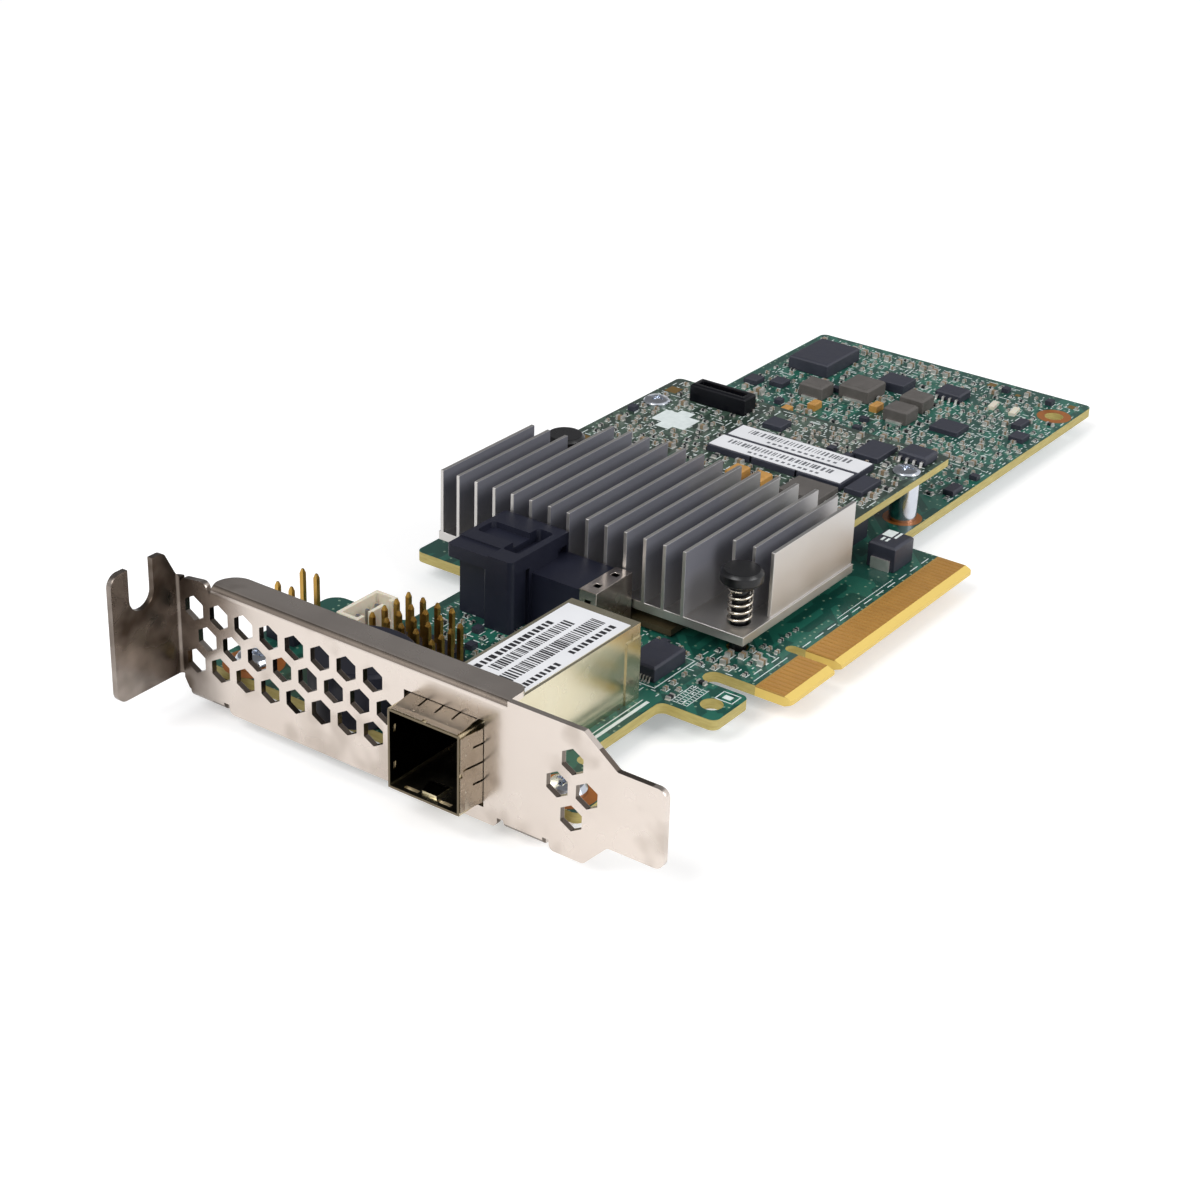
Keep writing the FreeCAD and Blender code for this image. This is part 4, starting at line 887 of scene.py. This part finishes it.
for level, left, right, low, high, parts, lines in REGIONS:
    free = bare_cells(level, left, right, low, high)
    placed = 0
    for attempt in range(parts * TRIES_PER_PART):
        if placed == parts:
            break
        kind, size = dice.choices(KINDS, WEIGHTS)[0]
        turn = dice.choice((0, 0, 90))
        x = round(dice.uniform(left, right), 1)
        y = round(dice.uniform(low, high), 1)
        half_x, half_y = (size[0] / 2, size[1] / 2) if turn == 0 else (size[1] / 2, size[0] / 2)
        if not claim(free, x, y, half_x + ROOM_ROUND, half_y + ROOM_ROUND):
            continue
        standing[kind].append(shaped((x, y, level), size, turn))
        placed += 1
        if dice.random() < MARKED_SHARE:
            for side in (-1, 1):
                if turn == 0:
                    aside = y + side * (half_y + MARK_GAP)
                    strokes.append(flat_field(x, aside, 2 * half_x, MARK_WIDTH, level))
                else:
                    aside = x + side * (half_x + MARK_GAP)
                    strokes.append(flat_field(aside, y, MARK_WIDTH, 2 * half_y, level))
    drawn = 0
    for attempt in range(lines * TRIES_PER_STROKE):
        if drawn == lines:
            break
        length = dice.choice(STROKE_LENGTHS)
        x = dice.uniform(left, right)
        y = dice.uniform(low, high)
        along_x = dice.random() < 0.5
        half_x, half_y = (length / 2, STROKE_HALF) if along_x else (STROKE_HALF, length / 2)
        if claim(free, x, y, half_x, half_y):
            strokes.append(flat_field(x, y, 2 * half_x, 2 * half_y, level))
            drawn += 1
    print("level", level, "parts", placed, "strokes", drawn, "cells left", len(free))

copies(ceramic_part, standing["ceramic"], "small_ceramic_capacitors")
copies(resistor_part, standing["resistor"], "small_chip_resistors")
small_block = unit_block("small_block", chip_epoxy)
copies(small_block, standing["block"], "small_moulded_parts")
copies(ink_mark, strokes, "legend_strokes")

# %% [markdown]
# ## Labels
#
# The labels carry plain bars in rows, the width of each taken from seeded dice. A row of short
# bars stands for a line of small print. The ink lies on the film, 0.01 mm thick.

# %% Bars on the labels
FILM_INK = 0.01
CAGE_ROWS = (
    # ends of the row, its edges, thinnest and widest bar, smallest and largest gap
    (10.0, 28.0, 25.3, 26.4, 0.5, 0.9, (0.25, 0.5)),
    (12.0, 29.0, 23.0, 24.8, 0.1, 0.42, (0.1, 0.36)),
    (9.5, 31.6, 20.0, 22.2, 0.1, 0.42, (0.1, 0.36)),
    (9.0, 19.0, 17.7, 18.7, 0.45, 0.8, (0.25, 0.5)),
    (21.5, 31.6, 18.2, 19.2, 0.45, 0.8, (0.25, 0.5)),
)


def bar_row(left, right, low, high, thinnest, widest, gaps, level, lengthwise=True):
    """A row of upright bars between two ends of a label, as matrices for a unit block."""
    bars = []
    where = left
    while where < right - widest:
        wide = dice.uniform(thinnest, widest)
        if lengthwise:
            bars.append(shaped((where + wide / 2, (low + high) / 2, level), (wide, high - low, FILM_INK)))
        else:
            bars.append(shaped(((low + high) / 2, where + wide / 2, level), (high - low, wide, FILM_INK)))
        where += wide + dice.uniform(*gaps)
    return bars


label_mark = unit_block("label_mark", label_ink)
low, high = boxes_of("cage_label")[0]
top = measured(high)[2]
bars = [bar for row in CAGE_ROWS for bar in bar_row(*row, top)]
copies(label_mark, bars, "cage_label_print")
bars = []
for low, high in boxes_of("memory_labels"):
    x0, y0, bottom = measured(low)
    x1, y1, top = measured(high)
    bars += bar_row(y0 + 3.0, y1 - 1.8, x0 + 2.1, x1 - 0.8, 0.1, 0.5, (0.14, 0.5), top, lengthwise=False)
    bars += bar_row(y0 + 4.4, y1 - 6.0, x0 + 0.7, x0 + 1.25, 0.4, 0.7, (0.3, 0.6), top, lengthwise=False)
faded_mark = unit_block("faded_mark", faded_ink)
copies(faded_mark, bars, "memory_label_print")

# %% [markdown]
# ## Leads, the choke's print and the seam
#
# The chip beside the port stands on fine gull-wing leads along two sides. The choke has four
# plain fields of pale print. The port's cage ends in a lapped seam.

# %% Leads of the interface chip, choke and cage seam
LEAD_SIZE, LEAD_HEIGHT = (0.22, 0.2, 0.14), 0.75
LEAD_BENDS = ((0.2, 0, -0.6), (0.4, 0, -0.02))
LEADS_PER_SIDE, FIRST_LEAD, LEAD_PITCH = 9, 0.6, 0.5
# Places from the choke's middle, and sizes.
CHOKE_FIELDS = ((1.3, 0.9, 2.2, 1.7), (1.3, -0.5, 2.2, 0.4), (-0.9, 0.9, 1.2, 0.4), (-0.9, 0.1, 1.2, 0.4))
SEAM_SPOT, SEAM_SIZE = (32.7, 16.5, -0.5), (3.1, 0.2, 9.9)


def gull_wing(name):
    """One lead: a strip that leaves a chip, steps down and lies on its pad."""
    deselect_all()
    bpy.ops.mesh.primitive_cube_add(size=1.0, location=(0, 0, 0))
    lead = bpy.context.object
    lead.name = name
    lead.scale = [side * MM for side in LEAD_SIZE]
    lead.location = (LEAD_SIZE[0] / 2 * MM, 0, LEAD_HEIGHT * MM)
    bpy.ops.object.transform_apply(location=True, rotation=False, scale=True)
    bpy.ops.object.mode_set(mode="EDIT")
    for shift in LEAD_BENDS:
        bpy.ops.mesh.select_all(action="DESELECT")
        bpy.ops.object.mode_set(mode="OBJECT")
        far = max(vertex.co.x for vertex in lead.data.vertices)
        for polygon in lead.data.polygons:
            polygon.select = all(lead.data.vertices[v].co.x > far - 0.01 * MM for v in polygon.vertices)
        bpy.ops.object.mode_set(mode="EDIT")
        bpy.ops.mesh.extrude_region_move(TRANSFORM_OT_translate={"value": [v * MM for v in shift]})
    bpy.ops.object.mode_set(mode="OBJECT")
    lead.data.materials.append(bright_tin)
    return lead


lead = gull_wing("gull_wing_lead")
low, high = boxes_of("interface_chip")[0]
spots = []
for side, turn in ((high.x, 0.0), (low.x, 180.0)):
    for step in range(LEADS_PER_SIDE):
        along = (FIRST_LEAD + LEAD_PITCH * step) * MM
        spots.append(Matrix.Translation((side, low.y + along, 0))
                     @ Matrix.Rotation(math.radians(turn), 4, "Z"))
copies(lead, spots, "interface_chip_leads")

low, high = boxes_of("choke")[0]
x, y, z = measured((low + high) / 2)
top = measured(high)[2]
fields = [flat_field(x + right, y + up, wide, deep, top) for right, up, wide, deep in CHOKE_FIELDS]
copies(ink_mark, fields, "choke_print")

seam = unit_block("seam_sheet", cage_plate)
copies(seam, [shaped(SEAM_SPOT, SEAM_SIZE)], "cage_lapped_seam")
for master in (ceramic_part, resistor_part, small_block, ink_mark, gold_pad, flat_cap, label_mark,
               faded_mark, lead, seam):
    bpy.data.objects.remove(master)
print("print, rings and leads ready")

# %% [markdown]
# ## Light
#
# The card stood on white paper under large soft boxes. The paper shows as plain white but keeps
# a soft shadow, which is done with a little glow that only the camera and mirrors see. Two soft
# boxes and a pale room light the card evenly. The far end of the studio is unlit, so polished
# metal that faces upwards mirrors something darker; in the room's colour this is a soft dark
# patch that only reflections see.

# %% Floor and room
FLOOR_GAP = 0.0002
FLOOR_LEVEL = cad_box[0][2] - FLOOR_GAP
FLOOR_SIZE = 6.0
PAPER_GLOW = 0.34
UNLIT_WAY = (0.33, 0.5, 0.8)
UNLIT_SPAN, UNLIT_SHARE = (0.5, 0.82), 0.25
ROOM_LIGHT = 0.5

deselect_all()
bpy.ops.mesh.primitive_plane_add(size=FLOOR_SIZE, location=(0.4, 0.2, FLOOR_LEVEL))
floor = bpy.context.object
floor.name = "white_paper_floor"
paper, tree, shader = new_finish("white_paper", "ececec", 0.9)
shader.inputs["Specular IOR Level"].default_value = 0.1
rays = add_node(tree, "ShaderNodeLightPath").outputs
seen = calc(tree, "MAXIMUM", rays["Is Camera Ray"], rays["Is Glossy Ray"])
seen = calc(tree, "MAXIMUM", seen, rays["Is Transmission Ray"])
shader.inputs["Emission Color"].default_value = (1, 1, 1, 1)
tree.links.new(calc(tree, "MULTIPLY", seen, PAPER_GLOW), shader.inputs["Emission Strength"])
floor.data.materials.append(paper)

room = bpy.data.worlds.new("studio_room")
bpy.context.scene.world = room
room.use_nodes = True
tree = room.node_tree
background = tree.nodes["Background"]
background.inputs["Color"].default_value = srgb("f4f4f6")
rays = add_node(tree, "ShaderNodeLightPath").outputs
direction = add_node(tree, "ShaderNodeTexCoord").outputs["Generated"]
towards = add_node(tree, "ShaderNodeVectorMath", {0: direction, 1: UNLIT_WAY}, operation="DOT_PRODUCT")
unlit = remap(tree, towards.outputs["Value"], UNLIT_SPAN, (1.0, UNLIT_SHARE), interpolation_type="SMOOTHSTEP")
mirrored = mix(tree, rays["Is Glossy Ray"], ROOM_LIGHT, unlit, "FLOAT")
seen = calc(tree, "MAXIMUM", rays["Is Camera Ray"], rays["Is Transmission Ray"])
tree.links.new(mix(tree, seen, mirrored, 1.0, "FLOAT"), background.inputs["Strength"])


# %% Soft boxes
def soft_box(name, spot, target, size, power):
    """A square area light that looks at a point."""
    light = bpy.data.lights.new(name, "AREA")
    light.shape = "SQUARE"
    light.size = size
    light.energy = power
    box = bpy.data.objects.new(name, light)
    box.location = spot
    box.rotation_euler = (Vector(target) - Vector(spot)).to_track_quat("-Z", "Y").to_euler()
    bpy.context.scene.collection.objects.link(box)


CARD_MIDDLE = (0.02, 0.03, 0)
soft_box("soft_box_over_left", (-0.75, 0.15, 0.75), CARD_MIDDLE, 0.6, 6.5)
soft_box("soft_box_over_right", (0.15, -0.75, 0.55), CARD_MIDDLE, 0.5, 4.5)
bpy.context.scene.view_settings.view_transform = "Standard"
print("light and room ready")
